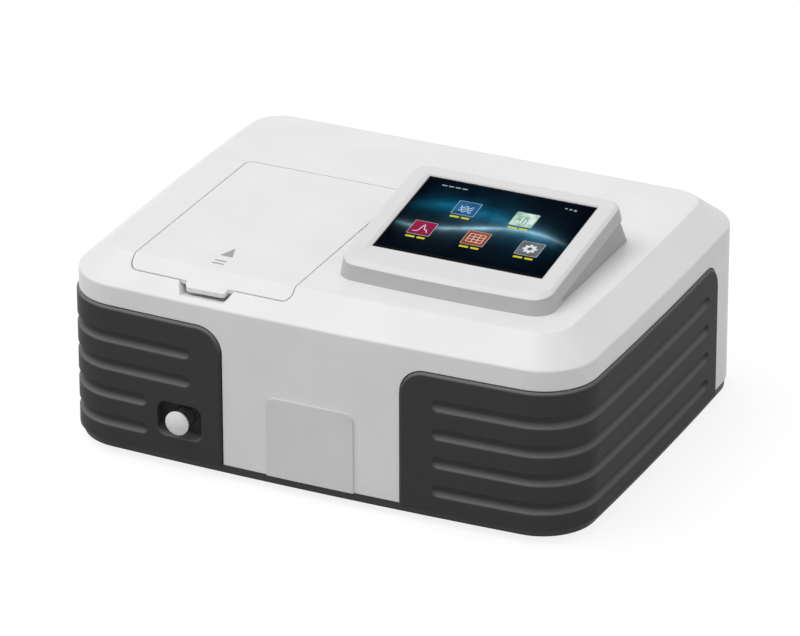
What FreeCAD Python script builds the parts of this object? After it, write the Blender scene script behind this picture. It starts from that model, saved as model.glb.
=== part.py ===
"""Benchtop spectrophotometer: a white moulded housing with dark grooved corner panels, a hinged
sample-compartment lid, a tilted touch-screen pod and a pull rod that shifts a four-cell carriage.

Millimetres, +Z up, front towards -Y.  The origin is on the surface that the feet stand on, at the
middle of the whole length and depth.  Every size is a cell of the sheet Sizes, and the features are
bound to those cells.
"""
import FreeCAD, Part
import math
import os
import re

import Sketcher

# ---------------------------------------------------------------- driving sizes
SIZES = {
    # case
    "body_width": 470,
    "body_depth": 366,
    "front_bow_radius": 4600,
    "side_bow_radius": 4970,
    "corner_radius": 48,
    "balance": 3.3,
    "foot_height": 6,
    "tray_height": 8,
    "wall_height": 140.7,
    "bevel_height": 21.4,
    "bevel_front": 27.1,
    "bevel_side": 25.3,
    "top_corner_radius": 26.7,
    "crease_wall": 1.3,
    "crease_bevel": 0.8,
    "crease_top": 1.2,
    "shell": 3,
    "tray_inset": 1.6,
    "tray_floor": 3,
    "tray_rim": 5,
    "seam": 0.8,
    "panel_seam": 1.1,
    # feet
    "foot_radius": 11,
    "foot_reach_x": 185,
    "foot_reach_y": 130,
    "foot_screw_radius": 2,
    "foot_dish_radius": 5,
    "foot_dish_depth": 2.5,
    # corner panels
    "panel_proud": 2,
    "panel_edge_x": 81.4,
    "panel_edge_y": 115.9,
    "panel_height": 123.4,
    "panel_corner": 22,
    "panel_overhang": 1.2,
    "panel_flange": 2,
    "panel_flange_reach": 5,
    "panel_chamfer": 1.6,
    "groove_radius": 6.5,
    "groove_depth": 2.6,
    "groove_first_height": 19.5,
    "groove_pitch": 25.7,
    "groove_end_x": 115.3,
    "groove_short_end_x": 156.4,
    "groove_end_y": 90,
    # front plate
    "plate_half_width": 39.4,
    "plate_height": 71.5,
    "plate_proud": 1.8,
    "plate_corner": 8,
    # lid
    "lid_left": -174,
    "lid_width": 148.3,
    "lid_rear": 53.6,
    "lid_drop": 9,
    "lid_corner": 7,
    "lid_thickness": 3,
    "lid_rear_undercut": 2.2,
    "tab_width": 38,
    "tab_drop": 3.6,
    "tab_corner": 4,
    "scoop_top_width": 51.4,
    "scoop_bottom_width": 40,
    "scoop_drop": 8.6,
    "scoop_wall": 2,
    # lid hinge
    "hinge_behind": 14,
    "hinge_below": 8,
    "pin_radius": 2,
    "pin_clearance": 0.05,
    "arm_width": 8,
    "arm_bar": 6,
    "arm_dip": 19,
    "arm_front": 19.5,
    "arm_spread": 110,
    "ear_thickness": 3,
    "ear_gap": 0.4,
    # sample compartment
    "well_width": 120,
    "well_behind_front": 33,
    "well_before_lid_rear": 19.6,
    "well_wall": 2,
    "well_flange": 2.5,
    "flange_top_drop": 9.6,
    "gasket_width": 6,
    "gasket_gap": 0.3,
    # cell carriage and pull rod
    "rod_x": -120.2,
    "rod_height": 40,
    "rod_radius": 3,
    "rod_clearance": 0.05,
    "knob_radius": 10.65,
    "knob_reach": 9,
    "knob_length": 9,
    "knob_dome_radius": 17,
    "knob_rim": 5.4,
    "knob_neck": 7.2,
    "knob_edge": 1.2,
    "recess_width": 41.3,
    "recess_height": 31,
    "recess_depth": 11,
    "recess_corner": 8,
    "recess_wall": 2,
    "bush_radius": 9,
    "bush_flange": 1.5,
    "bush_neck_radius": 6,
    "cell_pitch": 20,
    "cell_slot": 12.7,
    "cell_clearance": 0.1,
    "cell_glass_height": 45,
    "cell_glass_wall": 1.25,
    "holder_wall": 3.65,
    "holder_height": 38,
    "carriage_width": 84,
    "carriage_length": 92,
    "carriage_thickness": 12,
    "carriage_rear_gap": 4,
    "rail_radius": 3,
    "rail_spread": 68,
    "beam_height": 66,
    "beam_radius": 4,
    "window_radius": 6,
    # display pod
    "pod_x": 89.7,
    "pod_front": -124.9,
    "pod_front_height": 14.6,
    "screen_tilt": 8.87,
    "pod_half_width": 93.4,
    "pod_length": 159.7,
    "pod_band": 13.9,
    "pod_sink": 6.1,
    "pod_side_draft": 1.5,
    "pod_front_draft": 5.4,
    "pod_bow_radius": 1560,
    "pod_front_corner": 17,
    "pod_rear_corner": 13,
    "pod_chamfer": 3,
    "pod_wall": 2.5,
    "pod_deck": 2,
    "lip_half_width": 79.7,
    "lip_front": 18.7,
    "lip_rear": 148.2,
    "screen_half_width": 76.2,
    "screen_front": 32.3,
    "screen_rear": 145.7,
    "lip_corner": 2.5,
    "screen_corner": 0.6,
    "bezel_land": 0.5,
    "glass_thickness": 1.8,
    "lcd_thickness": 6,
    "wedge_inset": 1,
    "wedge_front": -93,
    "apron_length": 28.5,
    "wedge_rear_top": 29.6,
    "wedge_rear_bottom": 45.5,
    "wedge_corner": 6,
    # optical bench and what stands on it
    "bench_bottom": 24,
    "bench_thickness": 8,
    "bench_left": -205,
    "bench_right": 105,
    "bench_rear_gap": 38,
    "post_radius": 6,
    "detector_size": 40,
    "mono_left": -30,
    "mono_width": 122,
    "mono_front": -112,
    "mono_depth": 140,
    "mono_height": 86,
    "mono_wall": 4,
    "mono_lid": 3,
    "slit_size": 16,
    "slit_thickness": 1,
    "slit_half_gap": 0.5,
    "mirror_radius": 20,
    "mirror_thickness": 6,
    "mirror_block": 10,
    "grating_x": 62,
    "grating_y": -8,
    "grating_width": 25,
    "grating_thickness": 6,
    "table_radius": 16,
    "table_thickness": 5,
    "table_shaft": 3,
    "light_x": 12,
    "wheel_y": 42,
    "wheel_radius": 24,
    "wheel_thickness": 3,
    "wheel_rise": 17,
    "wheel_shaft": 1.5,
    "filter_radius": 5,
    "motor_radius": 11,
    "motor_length": 18,
    "lamp_front": 78,
    "lamp_box": 56,
    "lamp_box_height": 80,
    "lamp_wall": 3,
    "bulb_radius": 6,
    "bulb_length": 24,
    "socket_radius": 10,
    "lens_radius": 9,
    "lens_thickness": 4,
    # electronics
    "board_thickness": 1.6,
    "board_side_gap": 25,
    "board_front_gap": 63,
    "main_board_width": 90,
    "main_board_depth": 130,
    "standoff_height": 12,
    "standoff_radius": 4,
    "supply_rear_gap": 43,
    "supply_width": 90,
    "supply_depth": 110,
    "supply_height": 45,
    # rear panel
    "rear_margin": 7,
    "rear_width": 172,
    "rear_bottom": 30,
    "rear_height": 96,
    "rear_corner": 6,
    "rear_lap": 5,
    "rear_plate": 2,
    "fan_reach": 44,
    "fan_z": 82,
    "fan_size": 60,
    "fan_depth": 25,
    "fan_hub_radius": 14,
    "fan_bore_radius": 28,
    "fan_blade_gap": 1,
    "blade_thickness": 1.5,
    "grille_wire": 1,
    "inlet_reach": 142,
    "inlet_z": 60,
    "inlet_width": 48,
    "inlet_height": 28,
    "inlet_depth": 22,
    "rocker_z": 100,
    "rocker_width": 14,
    "rocker_length": 20,
    "port_reach": 100,
    "port_z": 56,
}

# places that follow from the sizes
PLACES = {
    "well_front": "well_behind_front - body_depth / 2",
    "well_rear": "lid_rear - well_before_lid_rear",
    "carriage_rear": "well_rear - carriage_rear_gap",
    "bench_front": "well_front",
    "bench_rear": "body_depth / 2 - bench_rear_gap",
    "main_board_x": "body_width / 2 - board_side_gap - main_board_width / 2",
    "main_board_y": "board_front_gap + main_board_depth / 2 - body_depth / 2",
    "supply_x": "body_width / 2 - board_side_gap - supply_width / 2",
    "supply_y": "body_depth / 2 - supply_rear_gap - supply_depth / 2",
    "rear_left": "body_width / 2 - corner_radius - rear_margin - rear_width",
    "fan_x": "rear_left + fan_reach",
    "inlet_x": "rear_left + inlet_reach",
    "rocker_x": "inlet_x",
    "port_x": "rear_left + port_reach",
}

doc = FreeCAD.newDocument("Spectrophotometer")
sheet = doc.addObject("Spreadsheet::Sheet", "Sizes")
for row, (alias, length) in enumerate(SIZES.items(), 1):
    sheet.set("A%d" % row, str(length))
    sheet.setAlias("A%d" % row, alias)
doc.recompute()
probe = doc.addObject("PartDesign::Body", "Probe")


# ---------------------------------------------------------------- small tools
def cells(expression):
    """The expression with each place worked out and each size's name pointing at its cell."""
    def point(match):
        word = match.group(0)
        if word in PLACES:
            return "(%s)" % cells(PLACES[word])
        return "Sizes." + word if word in SIZES else word
    return re.sub(r"[a-z][a-z_0-9]*", point, expression)


def number(expression):
    return float(probe.evalExpression(cells(expression)))


def vector(x, y, z=0.0):
    return FreeCAD.Vector(x, y, z)


def bind(thing, path, expression):
    thing.setExpression(path, cells(expression))


def fix(sketch, kind, places, expression):
    """A dimension of a sketch, bound to the sheet."""
    index = sketch.addConstraint(Sketcher.Constraint(kind, *places, number(expression)))
    bind(sketch, "Constraints[%d]" % index, expression)


def at(sketch, geometry, point, x, y):
    fix(sketch, "DistanceX", (-1, 1, geometry, point), x)
    fix(sketch, "DistanceY", (-1, 1, geometry, point), y)


def polygon(points):
    """A closed outline through (x, y) expressions."""
    def draw(sketch):
        spots = [vector(number(x), number(y)) for x, y in points]
        first = sketch.GeometryCount
        for index, spot in enumerate(spots):
            sketch.addGeometry(Part.LineSegment(spot, spots[(index + 1) % len(spots)]), False)
        for index, (x, y) in enumerate(points):
            after = first + (index + 1) % len(points)
            sketch.addConstraint(Sketcher.Constraint("Coincident", first + index, 2, after, 1))
            at(sketch, first + index, 1, x, y)
    return draw


def rectangle(left, right, bottom, top):
    return polygon([(left, bottom), (right, bottom), (right, top), (left, top)])


def circle(x, y, radius):
    def draw(sketch):
        hoop = Part.Circle(vector(number(x), number(y)), vector(0, 0, 1), number(radius))
        index = sketch.addGeometry(hoop, False)
        at(sketch, index, 3, x, y)
        fix(sketch, "Radius", (index,), radius)
    return draw


def straight(way, place):
    """A straight side: way is x or y, place its coordinate."""
    return {"way": way, "place": place}


def bowed(x, y, radius):
    """A side that is an arc about (x, y)."""
    return {"way": "arc", "x": x, "y": y, "radius": radius}


def arc_between(centre, start, end):
    """The arc from start counter-clockwise to end about centre."""
    first = math.atan2(start.y - centre.y, start.x - centre.x)
    last = math.atan2(end.y - centre.y, end.x - centre.x)
    if last < first:
        last += 2 * math.pi
    hoop = Part.Circle(centre, vector(0, 0, 1), (start - centre).Length)
    return Part.ArcOfCircle(hoop, first, last)


def rounded_loop(front, right, back, left, radii):
    """A four-sided outline, each side straight or bowed, with corners tangent to both sides.

    radii are those of the front right, back right, back left and front left corners."""
    sides = [front, right, back, left]

    def inward(side, radius, outwards):
        """The side moved inwards by a corner's radius, as numbers."""
        if side["way"] == "arc":
            return ("arc", number(side["x"]), number(side["y"]), number(side["radius"]) - radius)
        return (side["way"], number(side["place"]) - outwards * radius)

    def meet(a, b, quadrant):
        """Where two moved sides cross, in the quadrant of their corner."""
        if a[0] != "arc" and b[0] != "arc":
            x = a[1] if a[0] == "x" else b[1]
            y = a[1] if a[0] == "y" else b[1]
            return vector(x, y)
        if a[0] != "arc" or b[0] != "arc":
            line, arc = (a, b) if b[0] == "arc" else (b, a)
            if line[0] == "y":
                rise = line[1] - arc[2]
                return vector(arc[1] + quadrant[0] * math.sqrt(arc[3] ** 2 - rise ** 2), line[1])
            run = line[1] - arc[1]
            return vector(line[1], arc[2] + quadrant[1] * math.sqrt(arc[3] ** 2 - run ** 2))
        between = vector(b[1] - a[1], b[2] - a[2])
        length = between.Length
        along = (a[3] ** 2 - b[3] ** 2 + length ** 2) / (2 * length)
        across = math.sqrt(a[3] ** 2 - along ** 2)
        unit = between.normalize()
        foot = vector(a[1], a[2]) + unit * along
        normal = vector(-unit.y, unit.x)
        spots = [foot + normal * across, foot - normal * across]
        return max(spots, key=lambda p: p.x * quadrant[0] + p.y * quadrant[1])

    def touch(side, centre):
        """Where a corner's circle touches its side."""
        if side["way"] == "x":
            return vector(number(side["place"]), centre.y)
        if side["way"] == "y":
            return vector(centre.x, number(side["place"]))
        middle = vector(number(side["x"]), number(side["y"]))
        return middle + (centre - middle).normalize() * number(side["radius"])

    def draw(sketch):
        quadrants = [(1, -1), (1, 1), (-1, 1), (-1, -1)]
        outwards = [-1, 1, 1, -1]
        corners = []
        for index, quadrant in enumerate(quadrants):
            here, there = sides[index], sides[(index + 1) % 4]
            radius = number(radii[index])
            centre = meet(inward(here, radius, outwards[index]),
                          inward(there, radius, outwards[(index + 1) % 4]), quadrant)
            corners.append((centre, touch(here, centre), touch(there, centre)))
        first = sketch.GeometryCount
        for index, side in enumerate(sides):
            start, end = corners[index - 1][2], corners[index][1]
            if side["way"] == "arc":
                middle = vector(number(side["x"]), number(side["y"]))
                sketch.addGeometry(arc_between(middle, start, end), False)
            else:
                sketch.addGeometry(Part.LineSegment(start, end), False)
            sketch.addGeometry(arc_between(*corners[index]), False)
        for index in range(8):
            after = first + (index + 1) % 8
            sketch.addConstraint(Sketcher.Constraint("Tangent", first + index, 2, after, 1))
        for index, side in enumerate(sides):
            curve = first + 2 * index
            if side["way"] == "arc":
                at(sketch, curve, 3, side["x"], side["y"])
                fix(sketch, "Radius", (curve,), side["radius"])
            elif side["way"] == "x":
                sketch.addConstraint(Sketcher.Constraint("Vertical", curve))
                fix(sketch, "DistanceX", (-1, 1, curve, 1), side["place"])
            else:
                sketch.addConstraint(Sketcher.Constraint("Horizontal", curve))
                fix(sketch, "DistanceY", (-1, 1, curve, 1), side["place"])
            fix(sketch, "Radius", (curve + 1,), radii[index])
    return draw


def rounded_rectangle(left, right, bottom, top, radius):
    return rounded_loop(straight("y", bottom), straight("x", right), straight("y", top),
                        straight("x", left), [radius] * 4)


def case_outline(inset_x, inset_y, corner):
    """The case's plan: bowed front and sides, straight back, all moved inwards."""
    front = bowed("0", "front_bow_radius - body_depth / 2", "front_bow_radius - (%s)" % inset_y)
    right = bowed("body_width / 2 - side_bow_radius", "0", "side_bow_radius - (%s)" % inset_x)
    left = bowed("side_bow_radius - body_width / 2", "0", "side_bow_radius - (%s)" % inset_x)
    back = straight("y", "body_depth / 2 - (%s)" % inset_y)
    return rounded_loop(front, right, back, left, [corner] * 4)


def wall_outline(inset):
    """The case's plan at its upright wall, moved inwards all round."""
    return case_outline(inset, inset, "corner_radius - (%s)" % inset)


def body(label):
    return doc.addObject("PartDesign::Body", label)


def sketch_on(owner, plane, offset, loops):
    """A sketch on one of the body's origin planes, moved along the axis across it."""
    sketch = owner.newObject("Sketcher::SketchObject", owner.Label + "_sketch")
    support = [part for part in owner.Origin.OriginFeatures if part.Role == plane + "_Plane"][0]
    sketch.AttachmentSupport = [(support, "")]
    sketch.MapMode = "FlatFace"
    bind(sketch, "AttachmentOffset.Base.z", "-(%s)" % offset if plane == "XZ" else offset)
    for loop in loops:
        loop(sketch)
    return sketch


def add(owner, plane, loops, low, high):
    """Material between two coordinates across the plane."""
    start = high if plane == "XZ" else low
    sketch = sketch_on(owner, plane, start, loops)
    pad = owner.newObject("PartDesign::Pad", owner.Label + "_pad")
    pad.Profile = sketch
    bind(pad, "Length", "(%s) - (%s)" % (high, low))
    return pad


def cut(owner, plane, loops, low, high):
    """Material taken away between two coordinates across the plane."""
    start = high if plane == "XZ" else low
    sketch = sketch_on(owner, plane, start, loops)
    doc.recompute()
    before = owner.Shape.Volume
    pocket = owner.newObject("PartDesign::Pocket", owner.Label + "_pocket")
    pocket.Profile = sketch
    pocket.Reversed = True
    bind(pocket, "Length", "(%s) - (%s)" % (high, low))
    doc.recompute()
    if not owner.Shape.Volume < before - 1e-6:
        raise ValueError("a pocket of %s cuts nothing" % owner.Label)
    return pocket


def loft(owner, kind, sections):
    """A ruled loft through (height, outline) sections; kind is Additive or Subtractive."""
    sketches = [sketch_on(owner, "XY", height, [outline]) for height, outline in sections]
    piece = owner.newObject("PartDesign::%sLoft" % kind, owner.Label + "_loft")
    piece.Profile = sketches[0]
    piece.Sections = sketches[1:]
    piece.Ruled = True
    doc.recompute()
    return piece


def turned(owner, plane, points, axis):
    """A solid of revolution about one of the sketch's own axes."""
    sketch = sketch_on(owner, plane, "0", [polygon(points)])
    spun = owner.newObject("PartDesign::Revolution", owner.Label + "_turned")
    spun.Profile = sketch
    spun.ReferenceAxis = (sketch, [axis])
    spun.Angle = 360
    return spun


def soften(owner, kind, radius, choose):
    """Fillet or chamfer the edges that choose picks; radius is an expression."""
    doc.recompute()
    tip = owner.Tip
    names = ["Edge%d" % (index + 1) for index, edge in enumerate(tip.Shape.Edges) if choose(edge)]
    if not names:
        raise ValueError("%s has no edge to soften" % owner.Label)
    feature = owner.newObject("PartDesign::" + kind, owner.Label + "_edges")
    feature.Base = (tip, names)
    bind(feature, "Radius" if kind == "Fillet" else "Size", radius)
    doc.recompute()
    return feature


def upright(edge):
    """True for a straight vertical edge."""
    ends = [vertex.Point for vertex in edge.Vertexes]
    return len(ends) == 2 and abs(ends[0].x - ends[1].x) + abs(ends[0].y - ends[1].y) < 1e-6


def middle(edge):
    return edge.valueAt((edge.FirstParameter + edge.LastParameter) / 2)


def place(thing, x="0", y="0", z="0"):
    """Put a thing at a point given by expressions."""
    bind(thing, "Placement.Base.x", x)
    bind(thing, "Placement.Base.y", y)
    bind(thing, "Placement.Base.z", z)


def block(label, left, right, front, back, bottom, top):
    """A plain box between six coordinates."""
    box = doc.addObject("Part::Box", label)
    bind(box, "Length", "(%s) - (%s)" % (right, left))
    bind(box, "Width", "(%s) - (%s)" % (back, front))
    bind(box, "Height", "(%s) - (%s)" % (top, bottom))
    place(box, left, front, bottom)
    return box


TURNS = {"z": (vector(0, 0, 1), 0), "y": (vector(1, 0, 0), -90), "x": (vector(0, 1, 0), 90)}


def rod(label, way, x, y, z, radius, length):
    """A cylinder from a point along x, y or z."""
    bar = doc.addObject("Part::Cylinder", label)
    bind(bar, "Radius", radius)
    bind(bar, "Height", length)
    axis, angle = TURNS[way]
    bar.Placement = FreeCAD.Placement(vector(0, 0), FreeCAD.Rotation(axis, angle))
    place(bar, x, y, z)
    return bar


def ball(label, x, y, z, radius):
    orb = doc.addObject("Part::Sphere", label)
    bind(orb, "Radius", radius)
    place(orb, x, y, z)
    return orb


def fuse(label, parts):
    whole = doc.addObject("Part::MultiFuse", label)
    whole.Shapes = parts
    return whole


def common(label, parts):
    shared = doc.addObject("Part::MultiCommon", label)
    shared.Shapes = parts
    return shared


def less(label, base, tool):
    rest = doc.addObject("Part::Cut", label)
    rest.Base = base
    rest.Tool = tool
    return rest


def group(label, parts):
    """Separate solids that share one node."""
    several = doc.addObject("Part::Compound", label)
    several.Links = parts
    return several


pieces = []


def keep(thing):
    """Mark a sub-part for writing, moved back so that the knob and the rear panel balance."""
    own = {path.strip("."): formula for path, formula in thing.ExpressionEngine}
    thing.setExpression("Placement.Base.y", own.get("Placement.Base.y", "0") + " + Sizes.balance")
    pieces.append(thing)
    return thing


def mirrored(label, thing):
    """The same shape on the other side of the middle plane."""
    twin = doc.addObject("Part::Mirroring", label)
    twin.Source = thing
    twin.Normal = vector(1, 0)
    return twin


# ---------------------------------------------------------------- levels and lines
SKIRT = "(foot_height + tray_height)"
WALL_TOP = "(foot_height + tray_height + wall_height)"
TOP = "(foot_height + tray_height + wall_height + bevel_height)"
FLOOR = "(foot_height + tray_floor)"
BENCH_TOP = "(bench_bottom + bench_thickness)"
FRONT = "(-body_depth / 2)"
BACK = "(body_depth / 2)"
WELL_X = "(lid_left + lid_width / 2)"
ROD_Z = "(foot_height + rod_height)"
BEAM_Z = "(foot_height + beam_height)"
BEAM_Y = "(carriage_rear - carriage_length / 2 - 1.5 * cell_pitch)"
HINGE_Y = "(lid_rear + hinge_behind)"
HINGE_Z = "(%s - hinge_below)" % TOP
PANEL_TOP = "(%s - panel_overhang + panel_height)" % SKIRT
PANEL_FACE = "(%s + rod_x^2 / (2 * front_bow_radius) - panel_proud)" % FRONT


# ---------------------------------------------------------------- case
def bevel_outline(share):
    """The case's plan part of the way up the bevel: 0 at the wall, 1 at the top."""
    return case_outline("bevel_side * (%s)" % share, "bevel_front * (%s)" % share,
                        "corner_radius - (corner_radius - top_corner_radius) * (%s)" % share)


def crease(before, corner, after, step):
    """A point of the rounding between two slopes: a parabola in three short chords."""
    return "((%s) * %g + (%s) * %g + (%s) * %g)" % (
        before, (1 - step) ** 2, corner, 2 * step * (1 - step), after, step ** 2)


def case_solid(label):
    """The case's outer form, filled: upright wall, bevel all round and flat top, softly creased."""
    solid = body(label)
    low = "%s - crease_wall" % WALL_TOP
    add(solid, "XY", [wall_outline("0")], SKIRT, low)
    bevel_low, bevel_high = "crease_bevel / bevel_height", "1 - crease_bevel / bevel_height"
    sections = [(low, wall_outline("0"))]
    for step in (1 / 3, 2 / 3, 1):
        sections.append((crease(low, WALL_TOP, WALL_TOP + " + crease_bevel", step),
                         bevel_outline(crease("0", "0", bevel_low, step))))
    for step in (0, 1 / 3, 2 / 3, 1):
        sections.append((crease(TOP + " - crease_bevel", TOP, TOP, step),
                         bevel_outline(crease(bevel_high, "1", "1 + crease_top / bevel_front", step))))
    for pair in zip(sections, sections[1:]):
        loft(solid, "Additive", list(pair))
    return solid


def case_skin(label, thickness):
    """The outer form hollowed to an even thickness, open below."""
    skin = case_solid(label)
    slope = "sqrt(bevel_height^2 + bevel_front^2)"
    knee = "%s - %s * (%s - bevel_height) / bevel_front" % (WALL_TOP, thickness, slope)
    run = "%s * (%s - bevel_front) / bevel_height" % (thickness, slope)
    cut(skin, "XY", [wall_outline(thickness)], "%s - 1" % SKIRT, knee)
    loft(skin, "Subtractive", [
        (knee, wall_outline(thickness)),
        ("%s - %s" % (TOP, thickness),
         case_outline("bevel_side + " + run, "bevel_front + " + run, "top_corner_radius - " + run))])
    return skin


def lid_outline(gap):
    """The lid's plan, grown by a gap: its front edge keeps to one height on the bevel."""
    front_inset = "(bevel_front * (1 - lid_drop / bevel_height) - (%s))" % gap
    front = bowed("0", "front_bow_radius - body_depth / 2", "front_bow_radius - " + front_inset)
    return rounded_loop(front, straight("x", "lid_left + lid_width + (%s)" % gap),
                        straight("y", "lid_rear + (%s)" % gap), straight("x", "lid_left - (%s)" % gap),
                        ["lid_corner + (%s)" % gap] * 4)


def prism(label, plane, outline, low, high):
    solid = body(label)
    add(solid, plane, [outline], low, high)
    return solid


def band(label, outer, inner, low, high):
    """A band that follows the case's plan between two insets and two heights."""
    ring = body(label)
    add(ring, "XY", [wall_outline(outer), wall_outline(inner)], low, high)
    return ring


def corner_masks(label, grow):
    """Two prisms whose overlap is the right corner panel's outline from the front and the side."""
    top, radius = "%s + (%s)" % (PANEL_TOP, grow), "panel_corner + (%s)" % grow
    front = prism(label + "_front", "XZ",
                  rounded_rectangle("panel_edge_x - (%s)" % grow, "body_width", "-60", top, radius),
                  "-body_depth", "body_depth")
    flank = prism(label + "_flank", "YZ",
                  rounded_rectangle("-body_depth", "panel_edge_y + (%s)" % grow, "-60", top, radius),
                  "0", "body_width")
    return [front, flank]


def bent_bar(label, centre, radius, start, end, height):
    """A round bar bent to an arc about a vertical axis, between the directions to two points."""
    first = math.atan2(start.y - centre.y, start.x - centre.x)
    last = math.atan2(end.y - centre.y, end.x - centre.x)
    bar = doc.addObject("Part::Torus", label)
    bind(bar, "Radius1", radius)
    bind(bar, "Radius2", "groove_radius")
    bar.Angle3 = math.degrees(last - first)
    bar.Placement = FreeCAD.Placement(vector(centre.x, centre.y),
                                      FreeCAD.Rotation(vector(0, 0, 1), math.degrees(first)))
    bind(bar, "Placement.Base.z", height)
    return bar


def groove_tool(label, start_x, height):
    """A round bar with ball ends that lies along the right panel, from the front round to the side."""
    stand_off = "(panel_proud + groove_radius - groove_depth)"
    front_y, side_x = "(front_bow_radius - body_depth / 2)", "(body_width / 2 - side_bow_radius)"
    front_radius, side_radius = "(front_bow_radius + %s)" % stand_off, "(side_bow_radius + %s)" % stand_off
    front_middle, side_middle = vector(0, number(front_y)), vector(number(side_x), 0)
    between = side_middle - front_middle
    big, small = number("front_bow_radius - corner_radius"), number("side_bow_radius - corner_radius")
    along = (big ** 2 - small ** 2 + between.Length ** 2) / (2 * between.Length)
    across = math.sqrt(big ** 2 - along ** 2)
    unit = between.normalize()
    spots = [front_middle + unit * along + vector(-unit.y, unit.x) * (across * way) for way in (1, -1)]
    corner = max(spots, key=lambda p: p.x - p.y)
    first_y = "%s - sqrt(%s^2 - (%s)^2)" % (front_y, front_radius, start_x)
    last_x = "%s + sqrt(%s^2 - groove_end_y^2)" % (side_x, side_radius)
    first, last = vector(number(start_x), number(first_y)), vector(number(last_x), number("groove_end_y"))
    one = corner + (corner - front_middle).normalize() * number("corner_radius")
    two = corner + (corner - side_middle).normalize() * number("corner_radius")
    return fuse(label, [
        bent_bar(label + "_front", front_middle, front_radius, first, one, height),
        bent_bar(label + "_corner", corner, "corner_radius + " + stand_off, one, two, height),
        bent_bar(label + "_side", side_middle, side_radius, two, last, height),
        ball(label + "_start", start_x, first_y, height, "groove_radius"),
        ball(label + "_end", last_x, "groove_end_y", height, "groove_radius")])


# ---------------------------------------------------------------- corner panels
def chamfer(label, base, width, choose):
    """The base with its chosen edges chamfered."""
    doc.recompute()
    edges = [index + 1 for index, edge in enumerate(base.Shape.Edges) if choose(edge)]
    cut_edges = doc.addObject("Part::Chamfer", label)
    cut_edges.Base = base
    cut_edges.Edges = [(index, number(width), number(width)) for index in edges]
    return cut_edges


def on_outer_face(edge):
    """True for the panel's rim: its top edge and both ends of its outer face."""
    spot = middle(edge)
    corner = vector(number("body_width / 2 - corner_radius"), number("corner_radius - body_depth / 2"))
    outside = vector(spot.x, spot.y).distanceToPoint(corner)
    on_front = spot.x < corner.x and abs(spot.y + math.sqrt(number("front_bow_radius + panel_proud") ** 2
                                                       - spot.x ** 2)
                                    - number("front_bow_radius - body_depth / 2")) < 0.1
    on_side = spot.y > corner.y and abs(spot.x - math.sqrt(number("side_bow_radius + panel_proud") ** 2
                                                       - spot.y ** 2)
                                    - number("body_width / 2 - side_bow_radius")) < 0.1
    on_corner = spot.x > corner.x and spot.y < corner.y + 2 and outside > number("corner_radius")
    seam_line = edge.BoundBox.ZLength > 0.97 * number("panel_height")
    return (on_front or on_side or on_corner) and spot.z > number(SKIRT) and not seam_line


lower_edge = "(%s + 0.3)" % SKIRT
rings = fuse("panel_rings", [
    band("panel_band", "-panel_proud", "shell", lower_edge, PANEL_TOP),
    band("panel_lip", "-panel_proud", "1.3", SKIRT + " - panel_overhang", lower_edge)])
panel_face = common("panel_face", [rings] + corner_masks("panel", "0"))
panel_flange = common("panel_flange_part", [
    band("flange_band", "shell", "shell + panel_flange", lower_edge, PANEL_TOP + " + panel_flange_reach")]
    + corner_masks("flange", "panel_flange_reach"))
panel_blank = fuse("panel_blank", [
    chamfer("panel_rim", panel_face, "panel_chamfer", on_outer_face), panel_flange])
left_blank = mirrored("left_panel_blank", panel_blank)

heights = ["%s - panel_overhang + groove_first_height + %d * groove_pitch" % (SKIRT, row) for row in range(4)]
long_grooves = [groove_tool("groove_%d" % (row + 1), "groove_end_x", heights[row]) for row in range(4)]
short_grooves = [groove_tool("short_groove_%d" % (row + 1), "groove_short_end_x", heights[row])
                 for row in range(2)]
right_grooves = fuse("right_grooves", long_grooves)
left_grooves = mirrored("left_grooves", fuse("left_groove_set", short_grooves + long_grooves[2:]))
keep(less("right_side_panel", panel_blank, right_grooves))

cup = prism("recess_cup", "XZ", rounded_rectangle(
    "rod_x - recess_width / 2 - recess_wall", "rod_x + recess_width / 2 + recess_wall",
    ROD_Z + " - recess_height / 2 - recess_wall", ROD_Z + " + recess_height / 2 + recess_wall",
    "recess_corner + recess_wall"), PANEL_FACE + " + 3", PANEL_FACE + " + recess_depth + recess_wall")
recess = prism("recess", "XZ", rounded_rectangle(
    "rod_x - recess_width / 2", "rod_x + recess_width / 2", ROD_Z + " - recess_height / 2",
    ROD_Z + " + recess_height / 2", "recess_corner"), FRONT + " - 10", PANEL_FACE + " + recess_depth")
bush_hole = rod("bush_hole", "y", "rod_x", "-body_depth / 2", ROD_Z, "bush_neck_radius", "30")
keep(less("left_side_panel", fuse("left_panel_cup", [less("left_panel_grooved", left_blank, left_grooves),
                                                     cup]),
          fuse("recess_tools", [recess, bush_hole])))

# ---------------------------------------------------------------- lid
tab_left, tab_right = "(%s - 20)" % WELL_X, "(%s - 20 + tab_width)" % WELL_X
tab_front = "(%s + bevel_front * (1 - (lid_drop + tab_drop) / bevel_height) + 1.1)" % FRONT
lid_prism = prism("lid_plan", "XY", lid_outline("0"), TOP + " - 20", TOP + " + 1")
tab_prism = prism("tab_plan", "XY", rounded_rectangle(tab_left, tab_right, tab_front, "-body_depth / 4",
                                                      "tab_corner"), TOP + " - 20", TOP + " + 1")
lid_hole = prism("lid_hole", "XY", lid_outline("seam"), TOP + " - 20", TOP + " + 1")
undercut = prism("lid_undercut", "YZ", polygon([
    ("lid_rear", TOP + " - 0.6"), ("lid_rear + 1", TOP + " - 0.6"),
    ("lid_rear + 1", TOP + " - lid_thickness - 1"),
    ("lid_rear - lid_rear_undercut", TOP + " - lid_thickness - 1")]), "-body_width / 2", "0")


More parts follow.
